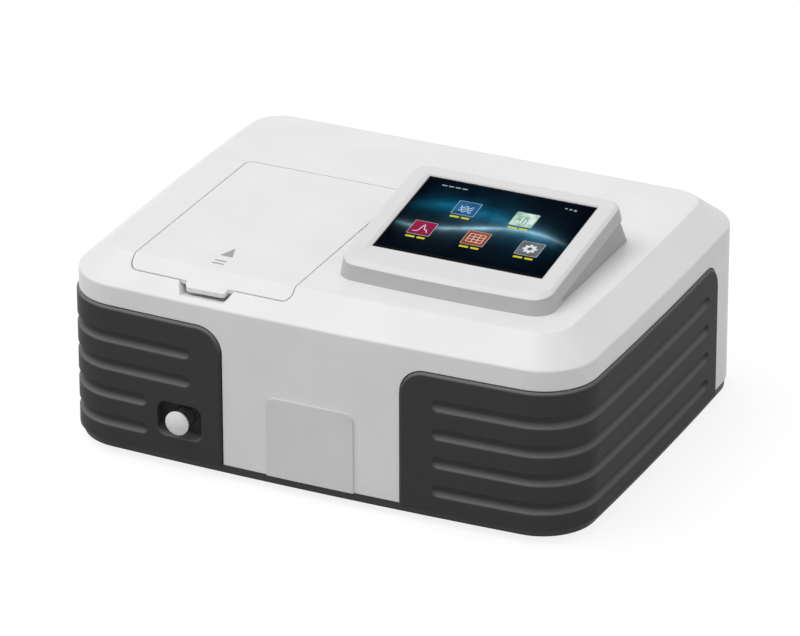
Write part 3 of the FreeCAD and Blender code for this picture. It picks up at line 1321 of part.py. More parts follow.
# ---------------------------------------------------------------- rear panel
plate_back = "(%s - shell)" % BACK
plate_front = "(%s - shell - rear_plate)" % BACK
rear_panel = body("rear_panel")
add(rear_panel, "XZ", [rounded_rectangle("rear_left - rear_lap", "rear_left + rear_width + rear_lap",
                                         "rear_bottom - rear_lap", "rear_bottom + rear_height + rear_lap",
                                         "rear_corner + rear_lap")], plate_front, plate_back)
cut(rear_panel, "XZ", [circle("fan_x", "fan_z", "fan_bore_radius")], plate_front + " - 1", plate_back + " + 1")
inlet_half, inlet_tall = "(inlet_width / 2 - 10)", "(inlet_height / 2)"
fuse_low, fuse_high = "(inlet_z - inlet_height / 2 - 10)", "(inlet_z - inlet_height / 2 - 1)"
cut(rear_panel, "XZ", [rectangle("inlet_x - " + inlet_half, "inlet_x + " + inlet_half,
                                 "inlet_z - inlet_height / 2 - 12", "inlet_z + inlet_height / 2 - 2")],
    plate_front + " - 1", plate_back + " + 1")
cut(rear_panel, "XZ", [rectangle("rocker_x - 13", "rocker_x + 13", "rocker_z - 9", "rocker_z + 9")],
    plate_front + " - 1", plate_back + " + 1")
cut(rear_panel, "XZ", [rectangle("port_x - 6", "port_x + 6", "port_z - 5.5", "port_z + 5.5")],
    plate_front + " - 1", plate_back + " + 1")
cut(rear_panel, "XZ", [rectangle("port_x - 12", "port_x + 12", "port_z + 24", "port_z + 35")],
    plate_front + " - 1", plate_back + " + 1")
keep(rear_panel)

fan_back = plate_front
fan_front = "(%s - fan_depth)" % plate_front
fan = body("fan_frame")
add(fan, "XZ", [rounded_rectangle("fan_x - fan_size / 2", "fan_x + fan_size / 2", "fan_z - fan_size / 2",
                                  "fan_z + fan_size / 2", "3"), circle("fan_x", "fan_z", "fan_bore_radius")],
    fan_front, fan_back)
add(fan, "XZ", [circle("fan_x", "fan_z", "fan_hub_radius")], fan_front, fan_front + " + 3")
add(fan, "XZ", [circle("fan_x", "fan_z", "2")], fan_front + " + 3", fan_back + " - 5")
add(fan, "XZ", [rectangle("fan_x - 30", "fan_x - fan_hub_radius + 1", "fan_z - 2.5", "fan_z + 2.5"),
                rectangle("fan_x + fan_hub_radius - 1", "fan_x + 30", "fan_z - 2.5", "fan_z + 2.5"),
                ], fan_front, fan_front + " + 3")
add(fan, "XZ", [rectangle("fan_x - 2.5", "fan_x + 2.5", "fan_z - 30", "fan_z - fan_hub_radius + 1"),
                rectangle("fan_x - 2.5", "fan_x + 2.5", "fan_z + fan_hub_radius - 1", "fan_z + 30")],
    fan_front, fan_front + " + 3")
keep(fan)
blade_front, blade_back = "(%s + 4)" % fan_front, "(%s - 3)" % fan_back
hub = less("impeller_hub", rod("impeller_hub_solid", "y", "fan_x", blade_front, "fan_z", "fan_hub_radius",
                               "%s - %s" % (blade_back, blade_front)),
           rod("impeller_bore", "y", "fan_x", blade_front + " - 1", "fan_z", "2 + rod_clearance",
               "%s - %s" % (blade_back, blade_front)))
blades = []
for step in range(7):
    blade = doc.addObject("Part::Box", "blade_%d" % (step + 1))
    bind(blade, "Length", "fan_bore_radius - fan_blade_gap - fan_hub_radius + 1.5")
    bind(blade, "Width", "22")
    bind(blade, "Height", "blade_thickness")
    tilted = FreeCAD.Rotation(vector(1, 0, 0), 38)
    turn = FreeCAD.Rotation(vector(0, 1, 0), 360.0 / 7 * step)
    centre = vector(number("fan_x"), number("(%s + %s) / 2" % (blade_front, blade_back)), number("fan_z"))
    lean = FreeCAD.Placement(vector(number("fan_hub_radius") - 1.5, 0, 0), tilted,
                             vector(0, 0, 0)).multiply(FreeCAD.Placement(vector(0, -11, -0.75), FreeCAD.Rotation()))
    blade.Placement = FreeCAD.Placement(centre, turn).multiply(lean)
    blades.append(blade)
swept = less("impeller_reach", rod("impeller_room", "y", "fan_x", blade_front, "fan_z",
                                   "fan_bore_radius - fan_blade_gap", "%s - %s" % (blade_back, blade_front)),
             rod("impeller_core", "y", "fan_x", blade_front + " - 1", "fan_z", "fan_hub_radius - 1",
                 "%s - %s + 2" % (blade_back, blade_front)))
keep(fuse("fan_impeller", [hub, common("impeller_blades", [fuse("impeller_blade_set", blades), swept])]))

grille_y = "(%s + 2)" % plate_back
wires = []
for index, radius in enumerate(("8", "15", "22", "29")):
    hoop = doc.addObject("Part::Torus", "grille_ring_%d" % (index + 1))
    bind(hoop, "Radius1", radius)
    bind(hoop, "Radius2", "grille_wire")
    hoop.Placement = FreeCAD.Placement(vector(0, 0), FreeCAD.Rotation(vector(1, 0, 0), 90))
    place(hoop, "fan_x", grille_y, "fan_z")
    wires.append(hoop)
wires.append(rod("grille_bar_x", "x", "fan_x - 33", grille_y, "fan_z", "grille_wire", "66"))
wires.append(rod("grille_bar_z", "z", "fan_x", grille_y, "fan_z - 33", "grille_wire", "66"))
for index, (x, z) in enumerate((("-33", "0"), ("33", "0"), ("0", "-33"), ("0", "33"))):
    wires.append(rod("grille_foot_%d" % (index + 1), "y", "fan_x + " + x, plate_back, "fan_z + " + z, "2.5", "3.5"))
keep(fuse("fan_grille", wires))

inlet = body("power_inlet")
add(inlet, "XZ", [rounded_rectangle("inlet_x - inlet_width / 2", "inlet_x + inlet_width / 2",
                                    "inlet_z - inlet_height / 2 - 14", "inlet_z + inlet_height / 2", "4")],
    plate_back, plate_back + " + 2.5")
add(inlet, "XZ", [rectangle("inlet_x - " + inlet_half, "inlet_x + " + inlet_half,
                            "inlet_z - inlet_height / 2 - 12", "inlet_z + inlet_height / 2 - 2")],
    plate_back + " - inlet_depth", plate_back)
cut(inlet, "XZ", [rounded_rectangle("inlet_x - 12.3", "inlet_x + 12.3", "inlet_z - 8", "inlet_z + 8.5", "2")],
    plate_back + " - 15", plate_back + " + 3")
add(inlet, "XZ", [rectangle("inlet_x - 8", "inlet_x - 6", "inlet_z - 3", "inlet_z + 1"),
                  rectangle("inlet_x + 6", "inlet_x + 8", "inlet_z - 3", "inlet_z + 1"),
                  rectangle("inlet_x - 1", "inlet_x + 1", "inlet_z + 1", "inlet_z + 5")],
    plate_back + " - 16", plate_back)
cut(inlet, "XZ", [rectangle("inlet_x - 11.1", "inlet_x + 11.1", fuse_low + " - 0.1", fuse_high + " + 0.1")],
    plate_back + " - 18.5", plate_back + " + 3")
keep(inlet)
drawer = body("fuse_drawer")
add(drawer, "XZ", [rectangle("inlet_x - 11", "inlet_x + 11", fuse_low, fuse_high)], plate_back + " - 17.5",
    plate_back + " + 2.2")
cut(drawer, "XZ", [rectangle("inlet_x - 4", "inlet_x + 4", fuse_high + " - 2", fuse_high + " + 1")],
    plate_back + " + 0.8", plate_back + " + 3")
cut(drawer, "XY", [rectangle("inlet_x - 9", "inlet_x + 9", plate_back + " - 15", plate_back + " - 4")],
    fuse_low + " + 2", fuse_high + " + 1")
keep(drawer)

switch_frame = body("switch_frame_form")
switch_y = "(%s - 1)" % plate_back
add(switch_frame, "XZ", [rounded_rectangle("rocker_x - 15.5", "rocker_x + 15.5", "rocker_z - 11",
                                           "rocker_z + 11", "2")], plate_back, plate_back + " + 2")
add(switch_frame, "XZ", [rectangle("rocker_x - 13", "rocker_x + 13", "rocker_z - 9", "rocker_z + 9")],
    plate_back + " - 16", plate_back)
cut(switch_frame, "XZ", [rectangle("rocker_x - rocker_length / 2 - 0.5", "rocker_x + rocker_length / 2 + 0.5",
                                   "rocker_z - rocker_width / 2 - 0.5", "rocker_z + rocker_width / 2 + 0.5")],
    plate_back + " - 12", plate_back + " + 3")
pin = rod("rocker_pin", "z", "rocker_x", switch_y + " - 1.5", "rocker_z - rocker_width / 2 - 1.5", "1.5",
          "rocker_width + 3")
keep(fuse("switch_frame", [switch_frame, pin]))
rocker = body("rocker_form")
add(rocker, "XY", [polygon([
    ("rocker_x - rocker_length / 2 + 0.6", switch_y + " - 5"),
    ("rocker_x + rocker_length / 2 - 0.6", switch_y + " - 5"),
    ("rocker_x + rocker_length / 2 - 0.2", switch_y + " + 2.4"), ("rocker_x", switch_y + " + 3.4"),
    ("rocker_x - rocker_length / 2 + 1.6", switch_y + " + 5.6")])], "rocker_z - rocker_width / 2",
    "rocker_z + rocker_width / 2")
keep(less("power_rocker", rocker, rod("rocker_bore", "z", "rocker_x", switch_y + " - 1.5",
                                      "rocker_z - rocker_width / 2 - 1", "1.5 + rod_clearance",
                                      "rocker_width + 2")))

usb = body("usb_port")
add(usb, "XZ", [rectangle("port_x - 6", "port_x + 6", "port_z - 5.5", "port_z + 5.5"),
                rectangle("port_x - 4.2", "port_x + 4.2", "port_z - 4", "port_z + 3.6")], plate_back + " - 14",
    plate_back + " + 0.8")
add(usb, "XZ", [rectangle("port_x - 5", "port_x + 5", "port_z - 5", "port_z + 5")], plate_back + " - 15",
    plate_back + " - 13")
add(usb, "XZ", [rectangle("port_x - 2.8", "port_x + 2.8", "port_z - 1.6", "port_z + 1.6")],
    plate_back + " - 13", plate_back)
keep(usb)
serial = body("serial_port")
add(serial, "XZ", [rectangle("port_x - 15", "port_x + 15", "port_z + 23", "port_z + 36")], plate_back,
    plate_back + " + 0.8")
add(serial, "XZ", [rectangle("port_x - 12", "port_x + 12", "port_z + 24", "port_z + 35")],
    plate_back + " - 10", plate_back)
add(serial, "XZ", [polygon([("port_x - 7.4", "port_z + 25.5"), ("port_x + 7.4", "port_z + 25.5"),
                            ("port_x + 8.6", "port_z + 33.5"), ("port_x - 8.6", "port_z + 33.5")])],
    plate_back + " + 0.8", plate_back + " + 5")
cut(serial, "XZ", [circle("port_x - 5.6 + %d * 2.8" % pin_row, "port_z + 31", "0.6") for pin_row in range(5)]
    + [circle("port_x - 4.2 + %d * 2.8" % pin_row, "port_z + 28", "0.6") for pin_row in range(4)],
    plate_back + " + 1", plate_back + " + 6")
add(serial, "XZ", [circle("port_x + 12.4", "port_z + 29.5", "1.8"), circle("port_x - 12.4", "port_z + 29.5", "1.8")],
    plate_back + " + 0.8", plate_back + " + 4")
keep(serial)

# ---------------------------------------------------------------- checks and output
doc.recompute()
for thing in doc.Objects:
    if "Invalid" in thing.State or "Error" in thing.State:
        raise ValueError("%s is in an error state" % thing.Label)
for piece in pieces:
    if piece.Shape.isNull() or not piece.Shape.isValid():
        raise ValueError("%s has no sound shape" % piece.Label)
os.makedirs("parts", exist_ok=True)
for piece in pieces:
    piece.Shape.exportStep("parts/%s.step" % piece.Label)
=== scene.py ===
"""Looks of the benchtop spectrophotometer: finishes, small surface detail, floor, light and camera."""
import math

import bmesh
import bpy
from mathutils import Matrix, Vector


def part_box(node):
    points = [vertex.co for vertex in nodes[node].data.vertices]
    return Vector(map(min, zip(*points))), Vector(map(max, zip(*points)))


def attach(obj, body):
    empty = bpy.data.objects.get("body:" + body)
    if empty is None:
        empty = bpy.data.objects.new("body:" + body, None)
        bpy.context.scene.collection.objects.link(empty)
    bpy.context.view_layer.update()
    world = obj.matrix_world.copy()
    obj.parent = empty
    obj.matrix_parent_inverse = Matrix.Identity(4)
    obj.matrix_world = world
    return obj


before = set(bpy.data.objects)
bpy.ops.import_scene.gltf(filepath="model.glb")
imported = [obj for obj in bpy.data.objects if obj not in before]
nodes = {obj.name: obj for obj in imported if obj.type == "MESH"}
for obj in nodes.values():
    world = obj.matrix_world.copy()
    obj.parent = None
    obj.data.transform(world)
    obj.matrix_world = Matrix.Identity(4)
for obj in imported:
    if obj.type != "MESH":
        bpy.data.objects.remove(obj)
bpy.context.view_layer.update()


def linear(colour):
    """An sRGB hex colour as a linear RGBA tuple."""
    channels = [int(colour[i:i + 2], 16) / 255 for i in (0, 2, 4)]
    return tuple(c / 12.92 if c <= 0.04045 else ((c + 0.055) / 1.055) ** 2.4 for c in channels) + (1.0,)


# ---------------------------------------------------------------- materials
PAINTED_SHADE_BLUR = 0.0025  # radius over which the painted shade on walls turns into the painted highlight on what faces up


class Finish:
    """A node material built step by step around one Principled shader."""

    def __init__(self, name):
        self.material = bpy.data.materials.new(name)
        self.material.use_nodes = True
        self.tree = self.material.node_tree
        self.shader = self.tree.nodes["Principled BSDF"]
        self.points = None

    def node(self, kind, **settings):
        made = self.tree.nodes.new(kind)
        for key, value in settings.items():
            setattr(made, key, value)
        return made

    def link(self, source, target):
        self.tree.links.new(source, target)

    def set(self, **values):
        """Set sockets of the shader: underscores stand for spaces."""
        for key, value in values.items():
            self.shader.inputs[key.replace("_", " ")].default_value = value
        return self

    def place(self):
        """Object coordinates, in metres."""
        if self.points is None:
            self.points = self.node("ShaderNodeTexCoord").outputs["Object"]
        return self.points

    def noise(self, size, detail=3.0, rough=0.5, stretch=(1, 1, 1)):
        """Noise whose features are about size metres across."""
        mapping = self.node("ShaderNodeMapping")
        mapping.inputs["Scale"].default_value = stretch
        self.link(self.place(), mapping.inputs["Vector"])
        noise = self.node("ShaderNodeTexNoise")
        noise.inputs["Scale"].default_value = 1.0 / size
        noise.inputs["Detail"].default_value = detail
        noise.inputs["Roughness"].default_value = rough
        self.link(mapping.outputs["Vector"], noise.inputs["Vector"])
        return noise.outputs["Fac"]

    def between(self, value, low, high, start=0.0, end=1.0):
        """A value mapped from start..end to low..high."""
        mapped = self.node("ShaderNodeMapRange")
        for socket, number in (("From Min", start), ("From Max", end), ("To Min", low), ("To Max", high)):
            mapped.inputs[socket].default_value = number
        self.link(value, mapped.inputs["Value"])
        return mapped.outputs["Result"]

    def math(self, operation, a, b=0.0):
        made = self.node("ShaderNodeMath", operation=operation)
        for index, value in enumerate((a, b)):
            if isinstance(value, (int, float)):
                made.inputs[index].default_value = value
            else:
                self.link(value, made.inputs[index])
        return made.outputs["Value"]

    def blend(self, factor, dark, light):
        """A colour between two colours or colour sockets."""
        mix = self.node("ShaderNodeMix", data_type="RGBA")
        for socket, value in (("A_Color", dark), ("B_Color", light)):
            target = next(item for item in mix.inputs if item.identifier == socket)
            if isinstance(value, tuple):
                target.default_value = value
            else:
                self.link(value, target)
        fac = next(item for item in mix.inputs if item.identifier == "Factor_Float")
        if isinstance(factor, (int, float)):
            fac.default_value = factor
        else:
            self.link(factor, fac)
        return next(item for item in mix.outputs if item.identifier == "Result_Color")

    def mottle(self, dark, light, size):
        """Base colour that drifts a little over the surface."""
        self.link(self.blend(self.between(self.noise(size), 0, 1, 0.3, 0.7), linear(dark), linear(light)),
                  self.shader.inputs["Base Color"])
        return self

    def sides(self, dark, light, low, high):
        """Painted shade and highlight: walls darker, what faces up lighter, from the normal's z between low
        and high.
        """
        split = self.node("ShaderNodeSeparateXYZ")
        soft = self.node("ShaderNodeBevel", samples=6)
        soft.inputs["Radius"].default_value = PAINTED_SHADE_BLUR
        self.link(soft.outputs["Normal"], split.inputs["Vector"])
        # up: the share of painted highlight, set by how far the face turns up
        up = self.between(split.outputs["Z"], 0, 1, low, high)
        drift = self.between(self.noise(0.05), 0.97, 1.0, 0.3, 0.7)
        self.link(self.blend(self.math("MULTIPLY", up, drift), linear(dark), linear(light)),
                  self.shader.inputs["Base Color"])
        return self

    def grain(self, size, depth, rough_low, rough_high, detail=4.0, stretch=(1, 1, 1), crease=0.0):
        """A moulded or machined grain: bump and roughness from one noise, over softly rounded creases."""
        noise = self.noise(size, detail, 0.6, stretch)
        bump = self.node("ShaderNodeBump")
        bump.inputs["Strength"].default_value = 1.0
        bump.inputs["Distance"].default_value = depth
        self.link(noise, bump.inputs["Height"])
        if crease:
            rounded = self.node("ShaderNodeBevel", samples=4)
            rounded.inputs["Radius"].default_value = crease
            self.link(rounded.outputs["Normal"], bump.inputs["Normal"])
        self.link(bump.outputs["Normal"], self.shader.inputs["Normal"])
        self.link(self.between(noise, rough_low, rough_high, 0.3, 0.7), self.shader.inputs["Roughness"])
        return self


def plastic(name, dark, light, rough, grain=0.0009, depth=0.00002, crease=0.0006, drift=0.05, painted_light_by_z=None):
    """Injection-moulded plastic with a fine spark-eroded grain, mottled, or with painted shade on its walls
    and a painted highlight on what faces up.
    """
    made = Finish(name)
    if painted_light_by_z:
        made.sides(dark, light, *painted_light_by_z)
    else:
        made.mottle(dark, light, drift)
    made.grain(grain, depth, rough - 0.05, rough + 0.05, crease=crease)
    return made.set(IOR=1.49)


def metal(name, dark, light, rough, grain=0.0012, depth=0.00001, stretch=(1, 1, 1), crease=0.0003):
    made = Finish(name).mottle(dark, light, 0.02)
    made.grain(grain, depth, rough - 0.07, rough + 0.09, stretch=stretch, crease=crease)
    return made.set(Metallic=1.0)


finishes = {
    "white_plastic": plastic("white_plastic", "e9e9e9", "eeeeee", 0.42, crease=0.0007),
    # dark_panel: painted highlight on what faces up, painted shade on its walls
    "dark_panel": plastic("dark_panel", "454546", "7a7a7b", 0.4, crease=0.0008,
                          painted_light_by_z=(0.0, 0.75)).set(Specular_IOR_Level=0.02),
    "plate_grey": plastic("plate_grey", "dcdcdc", "e2e2e2", 0.38, crease=0.0004),
    "base_black": plastic("base_black", "161616", "1c1c1c", 0.5),
    "wedge_grey": plastic("wedge_grey", "a6a6a6", "aeaeae", 0.45),
    "knob_white": plastic("knob_white", "e6e6e6", "ececec", 0.28, grain=0.002, depth=0.000006),
    "black_plastic": plastic("black_plastic", "141414", "1b1b1b", 0.42),
    "rubber_black": plastic("rubber_black", "131313", "1a1a1a", 0.75, grain=0.0006, depth=0.00004),
    "ceramic": plastic("ceramic", "e5dfd2", "efeadf", 0.5, grain=0.0005),
    "steel": metal("steel", "b9bbbd", "c8cacc", 0.3),
    "polished_rod": metal("polished_rod", "cfd1d3", "dadcde", 0.14, stretch=(1, 0.05, 1)),
    "anodised_black": plastic("anodised_black", "38383a", "434346", 0.42, grain=0.0007,
                              crease=0.0004).set(IOR=1.7),
    "aluminium_plain": metal("aluminium_plain", "c3c6c9", "d2d5d8", 0.4, depth=0.000002,
                             stretch=(1, 0.04, 1)),
    "sheet_metal": metal("sheet_metal", "b4b7ba", "c5c8cb", 0.38, grain=0.004, stretch=(0.05, 1, 1)),
    "mirror_coat": metal("mirror_coat", "e6e8ea", "f0f2f4", 0.09, grain=0.01, depth=0.000001),
}


def clear(name, tint, rough):
    """Clear or tinted glass with a trace of polish marks."""
    made = Finish(name)
    made.link(made.blend(made.between(made.noise(0.01), 0, 1, 0.3, 0.7), linear(tint), (1, 1, 1, 1)),
              made.shader.inputs["Base Color"])
    made.grain(0.004, 0.000002, max(rough - 0.01, 0.0), rough + 0.02)
    return made.set(IOR=1.46, Transmission_Weight=1.0)


finishes["clear_glass"] = clear("clear_glass", "eef6f8", 0.02)
finishes["filter_glass"] = clear("filter_glass", "f0a860", 0.04)


def board():
    """Solder-masked circuit board: copper tracks under green lacquer and tinned pads."""
    made = Finish("board_green")
    tracks = made.node("ShaderNodeTexBrick")
    tracks.offset = 0.37
    for socket, value in (("Scale", 1.0), ("Mortar Size", 0.00022), ("Brick Width", 0.0087),
                          ("Row Height", 0.0026), ("Mortar Smooth", 0.1)):
        tracks.inputs[socket].default_value = value
    made.link(made.place(), tracks.inputs["Vector"])
    lacquer = made.blend(made.between(made.noise(0.006), 0, 1, 0.35, 0.65), linear("0e3d22"),
                         linear("145230"))
    green = made.blend(tracks.outputs["Fac"], lacquer, linear("2a7a48"))
    cells = made.node("ShaderNodeTexVoronoi", feature="F1")
    cells.inputs["Scale"].default_value = 1 / 0.0062
    made.link(made.place(), cells.inputs["Vector"])
    pads = made.math("LESS_THAN", cells.outputs["Distance"], 0.14)
    made.link(made.blend(pads, green, linear("c9c4b4")), made.shader.inputs["Base Color"])
    made.grain(0.0008, 0.00001, 0.3, 0.45)
    made.link(pads, made.shader.inputs["Metallic"])
    return made


finishes["board_green"] = board()


def screen_glass():
    """The cover glass over the display: black until the picture behind it is lit."""
    made = plastic("screen_glass", "040406", "060609", 0.08, grain=0.01, depth=0.000001, crease=0.0)
    return made.set(Specular_IOR_Level=0.02)


finishes["screen_glass"] = screen_glass()

for name, node in nodes.items():
    for place in node.material_slots:
        place.material = finishes[place.material.name.split(".")[0]].material

# painted shade on the display housing: walls and the steep sides of the screen recess grey, what faces up
# white
screen_frame_painted_shade = plastic("screen_frame_painted_shade", "bdbdbd", "e0e0e0", 0.4, painted_light_by_z=(0.55, 0.8))
nodes["display_housing"].material_slots[0].material = screen_frame_painted_shade.material

# ---------------------------------------------------------------- measures from the frame
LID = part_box("sample_lid")
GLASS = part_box("touch_panel")
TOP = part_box("upper_housing")[1][2]
CENTRE_Y = (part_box("base_tray")[0][1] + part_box("base_tray")[1][1]) / 2


def mesh_object(name, builder, finish, body, place=Matrix.Identity(4)):
    """A new piece whose mesh a builder fills."""
    mesh = bpy.data.meshes.new(name)
    work = bmesh.new()
    builder(work)
    bmesh.ops.recalc_face_normals(work, faces=work.faces)
    work.to_mesh(mesh)
    work.free()
    made = bpy.data.objects.new(name, mesh)
    bpy.context.scene.collection.objects.link(made)
    made.data.materials.append(finish)
    made.matrix_world = place
    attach(made, body)
    return made


def slab(work, outline, low, high):
    """A thin plate over a closed outline, between two heights."""
    lower = [work.verts.new((x, y, low)) for x, y in outline]
    upper = [work.verts.new((x, y, high)) for x, y in outline]
    work.faces.new(lower[::-1])
    work.faces.new(upper)
    for i in range(len(outline)):
        j = (i + 1) % len(outline)
        work.faces.new((lower[i], lower[j], upper[j], upper[i]))


def rounded(left, right, front, back, radius, steps=6):
    """A rectangle with rounded corners, as points."""
    points = []
    for x, y, start in ((right - radius, front + radius, -90), (right - radius, back - radius, 0),
                        (left + radius, back - radius, 90), (left + radius, front + radius, 180)):
        for step in range(steps + 1):
            turn = math.radians(start + 90 * step / steps)
            points.append((x + radius * math.cos(turn), y + radius * math.sin(turn)))
    return points


# ---------------------------------------------------------------- open mark on the lid
MARK_X, MARK_FRONT = LID[0][0] + 0.071, LID[0][1] + 0.0271
MARK_HALF, BAR, RISE = 0.0056, 0.0019, 0.00012


def open_mark(work):
    """A triangle over two bars, the usual sign for a lid that lifts."""
    base = MARK_FRONT + 0.0162
    slab(work, [(MARK_X - MARK_HALF, base), (MARK_X + MARK_HALF, base), (MARK_X, base + 0.0165)],
         TOP - RISE, TOP + RISE)
    for row in (0, 1):
        low = MARK_FRONT + 0.0055 * row
        slab(work, rounded(MARK_X - MARK_HALF, MARK_X + MARK_HALF, low, low + BAR, BAR / 3),
             TOP - RISE, TOP + RISE)


mark_grey = plastic("mark_grey", "9a9a9a", "a4a4a4", 0.5, crease=0.0)
mesh_object("lid_open_mark", open_mark, mark_grey.material, "lid")

# ---------------------------------------------------------------- picture on the screen
TILT = math.atan2((GLASS[1][2] - GLASS[0][2]) - 0.0018, GLASS[1][1] - GLASS[0][1])
SCREEN_HALF = (GLASS[1][0] - GLASS[0][0]) / 2 - 0.003
SCREEN_LONG = math.hypot(GLASS[1][1] - GLASS[0][1], GLASS[1][2] - GLASS[0][2]) - 0.0065
SCREEN_MIDDLE = (Vector(GLASS[0]) + Vector(GLASS[1])) / 2
SCREEN = Matrix.Translation(SCREEN_MIDDLE) @ Matrix.Rotation(TILT, 4, "X")
FACE = 0.0009
PICTURE_UP, RIM_UP, TILE_UP, SIGN_UP, EYE_UP = 0.00005, 0.0001, 0.00014, 0.00018, 0.00022


def lit(name, colour, strength=1.0, low=None):
    """A lit area of the screen: colour that drifts a little across it, under a dark glossy skin."""
    made = Finish(name)
    drift = made.blend(made.between(made.noise(0.012), 0, 1, 0.35, 0.65), linear(low or colour),
                       linear(colour))
    made.link(drift, made.shader.inputs["Emission Color"])
    made.grain(0.01, 0.000001, 0.1, 0.16)
    made.set(Emission_Strength=strength, Base_Color=linear("060608"), Specular_IOR_Level=0.02)
    return made.material


def wallpaper():
    """A deep blue field with two soft streamers of light."""
    made = Finish("screen_wallpaper")
    split = made.node("ShaderNodeSeparateXYZ")
    made.link(made.place(), split.inputs["Vector"])
    across, along = split.outputs["X"], split.outputs["Y"]

    def streamer(height, swing, wave, start, width):
        """Light that falls off on both sides of a wavy line."""
        sway = made.math("SINE", made.math("ADD", made.math("MULTIPLY", across, wave), start))
        line = made.math("ADD", made.math("MULTIPLY", sway, swing), height)
        off = made.math("DIVIDE", made.math("SUBTRACT", along, line), width)
        return made.math("DIVIDE", 1.0, made.math("ADD", made.math("MULTIPLY", off, off), 1.0))

    haze = made.between(made.noise(0.03), 0.4, 1.0, 0.35, 0.65)
    first = made.math("MULTIPLY", streamer(-0.006, 0.011, 34.0, 0.4, 0.0024), haze)
    second = made.math("MULTIPLY", streamer(0.004, 0.016, 21.0, 2.4, 0.0075), haze)
    edge = made.math("MULTIPLY", across, across)
    fade = made.between(edge, 1.0, 0.05, 0.0, 0.0058)
    deep = made.blend(made.noise(0.018), linear("010205"), linear("030714"))
    teal = made.blend(made.math("MULTIPLY", second, fade), deep, linear("12749a"))
    bright = made.blend(made.math("MULTIPLY", first, fade), teal, linear("b4eaff"))
    made.link(bright, made.shader.inputs["Emission Color"])
    made.grain(0.01, 0.000001, 0.08, 0.14)
    made.set(Emission_Strength=1.0, Base_Color=linear("030304"), Specular_IOR_Level=0.0)
    return made.material


def screen_piece(name, outlines, level, material):
    """Flat shapes that lie on the screen, drawn in its own plane."""
    def build(work):
        for outline in outlines:
            slab(work, outline, FACE, FACE + level)
    return mesh_object(name, build, material, "instrument", SCREEN)


def strip(points, width):
    """The outline of a line of even width through points, mitred at its bends."""
    sides = ([], [])
    for i, point in enumerate(points):
        before, after = points[max(i - 1, 0)], points[min(i + 1, len(points) - 1)]
        run = Vector((after[0] - before[0], after[1] - before[1])).normalized()
        for side, way in zip(sides, (1, -1)):
            side.append((point[0] - way * run.y * width / 2, point[1] + way * run.x * width / 2))
    return sides[0] + sides[1][::-1]


def box_outline(x, y, half, tall=None, radius=0.0004):
    tall = half if tall is None else tall
    return rounded(x - half, x + half, y - tall, y + tall, min(radius, half * 0.9, tall * 0.9), 3)


def ring_outline(x, y, radius, steps=20):
    return [(x + radius * math.cos(2 * math.pi * k / steps), y + radius * math.sin(2 * math.pi * k / steps))
            for k in range(steps)]


PICTURE = rounded(-SCREEN_HALF + 0.0015, SCREEN_HALF - 0.0015, -SCREEN_LONG / 2 + 0.0045,
                  SCREEN_LONG / 2 - 0.0015, 0.0005, 2)
screen_piece("screen_picture", [PICTURE], PICTURE_UP, wallpaper())

TILE = 0.0098
ROW_TOP, ROW_LOW = 0.0205, -0.0185
TILES = [("spectrum", -0.0262, ROW_TOP, "1c6a9e", "0e4470"), ("levels", 0.0262, ROW_TOP, "2f8f5c", "d9efe2"),
         ("peak", -0.0485, ROW_LOW, "9c1446", "7a0f3a"), ("table", 0.0, ROW_LOW, "b04a1c", "8c3a16"),
         ("cog", 0.0485, ROW_LOW, "74767a", "5c5e62")]


def hump(value, centre, width):
    return math.exp(-((value - centre) / width) ** 2)


def glyph(kind, x, y):
    """The outlines of a plain sign for a tile."""
    unit = TILE / 10
    if kind == "spectrum":
        return [strip([(x + (k - 6) * unit, y + (n * 3.2 - 4.6 + 1.5 * math.sin(k * 1.05 + n)) * unit)
                       for k in range(13)], unit * 0.7) for n in range(3)]
    if kind == "levels":
        return [box_outline(x + (k * 3.2 - 4.8) * unit, y + (high / 2 - 6) * unit, unit, high / 2 * unit)
                for k, high in enumerate((4, 9, 6.5, 12))]
    if kind == "peak":
        steps = [k * 0.75 for k in range(19)]
        rises = [11 * hump(step, 7.4, 1.9) + 4 * hump(step, 11.2, 1.2) - 5.5 for step in steps]
        return [strip([(x + (step - 7) * unit, y + high * unit) for step, high in zip(steps, rises)],
                      unit * 0.8)]
    if kind == "table":
        lines = [strip([(x - 7 * unit, y + row * unit), (x + 7 * unit, y + row * unit)], unit * 0.55)
                 for row in (-6, -2, 2, 6)]
        return lines + [strip([(x + col * unit, y - 6 * unit), (x + col * unit, y + 6 * unit)], unit * 0.55)
                        for col in (-7, -2.3, 2.3, 7)]
    teeth = []
    for k in range(32):
        reach = (6.6 if k % 4 in (0, 1) else 5.0) * unit
        teeth.append((x + reach * math.cos(2 * math.pi * k / 32), y + reach * math.sin(2 * math.pi * k / 32)))
    return [teeth]


for kind, x, y, colour, low in TILES:
    screen_piece("tile_rim_" + kind, [box_outline(x, y, TILE + 0.0005, radius=0.0012)], RIM_UP,
                 lit("rim_" + kind, "b9c6cc", 0.8))
    screen_piece("tile_" + kind, [box_outline(x, y, TILE, radius=0.0009)], TILE_UP,
                 lit("tile_" + kind, colour, low=low))
    screen_piece("sign_" + kind, glyph(kind, x, y), SIGN_UP, lit("sign_" + kind, "dfe8ea", 0.9))
    screen_piece("caption_" + kind, [box_outline(x - 0.0048, y - TILE - 0.0042, 0.0041, 0.0012),
                                     box_outline(x + 0.0049, y - TILE - 0.0042, 0.0036, 0.0012)], TILE_UP,
                 lit("caption_" + kind, "d8d02a", 0.9))
screen_piece("cog_eye", [ring_outline(0.0485, ROW_LOW, TILE * 0.22)], EYE_UP, lit("cog_eye", "5c5e62"))
screen_piece("status_bar", [box_outline(-0.0585 + 0.0062 * k, 0.0475, 0.0024, 0.0007) for k in range(4)]
             + [box_outline(0.0605 - 0.0042 * k, 0.0475 + 0.0004 * k - 0.0008, 0.0012, 0.0012 - 0.0003 * k)
                for k in range(3)], TILE_UP, lit("status_bar", "a9b4ba", 0.8))

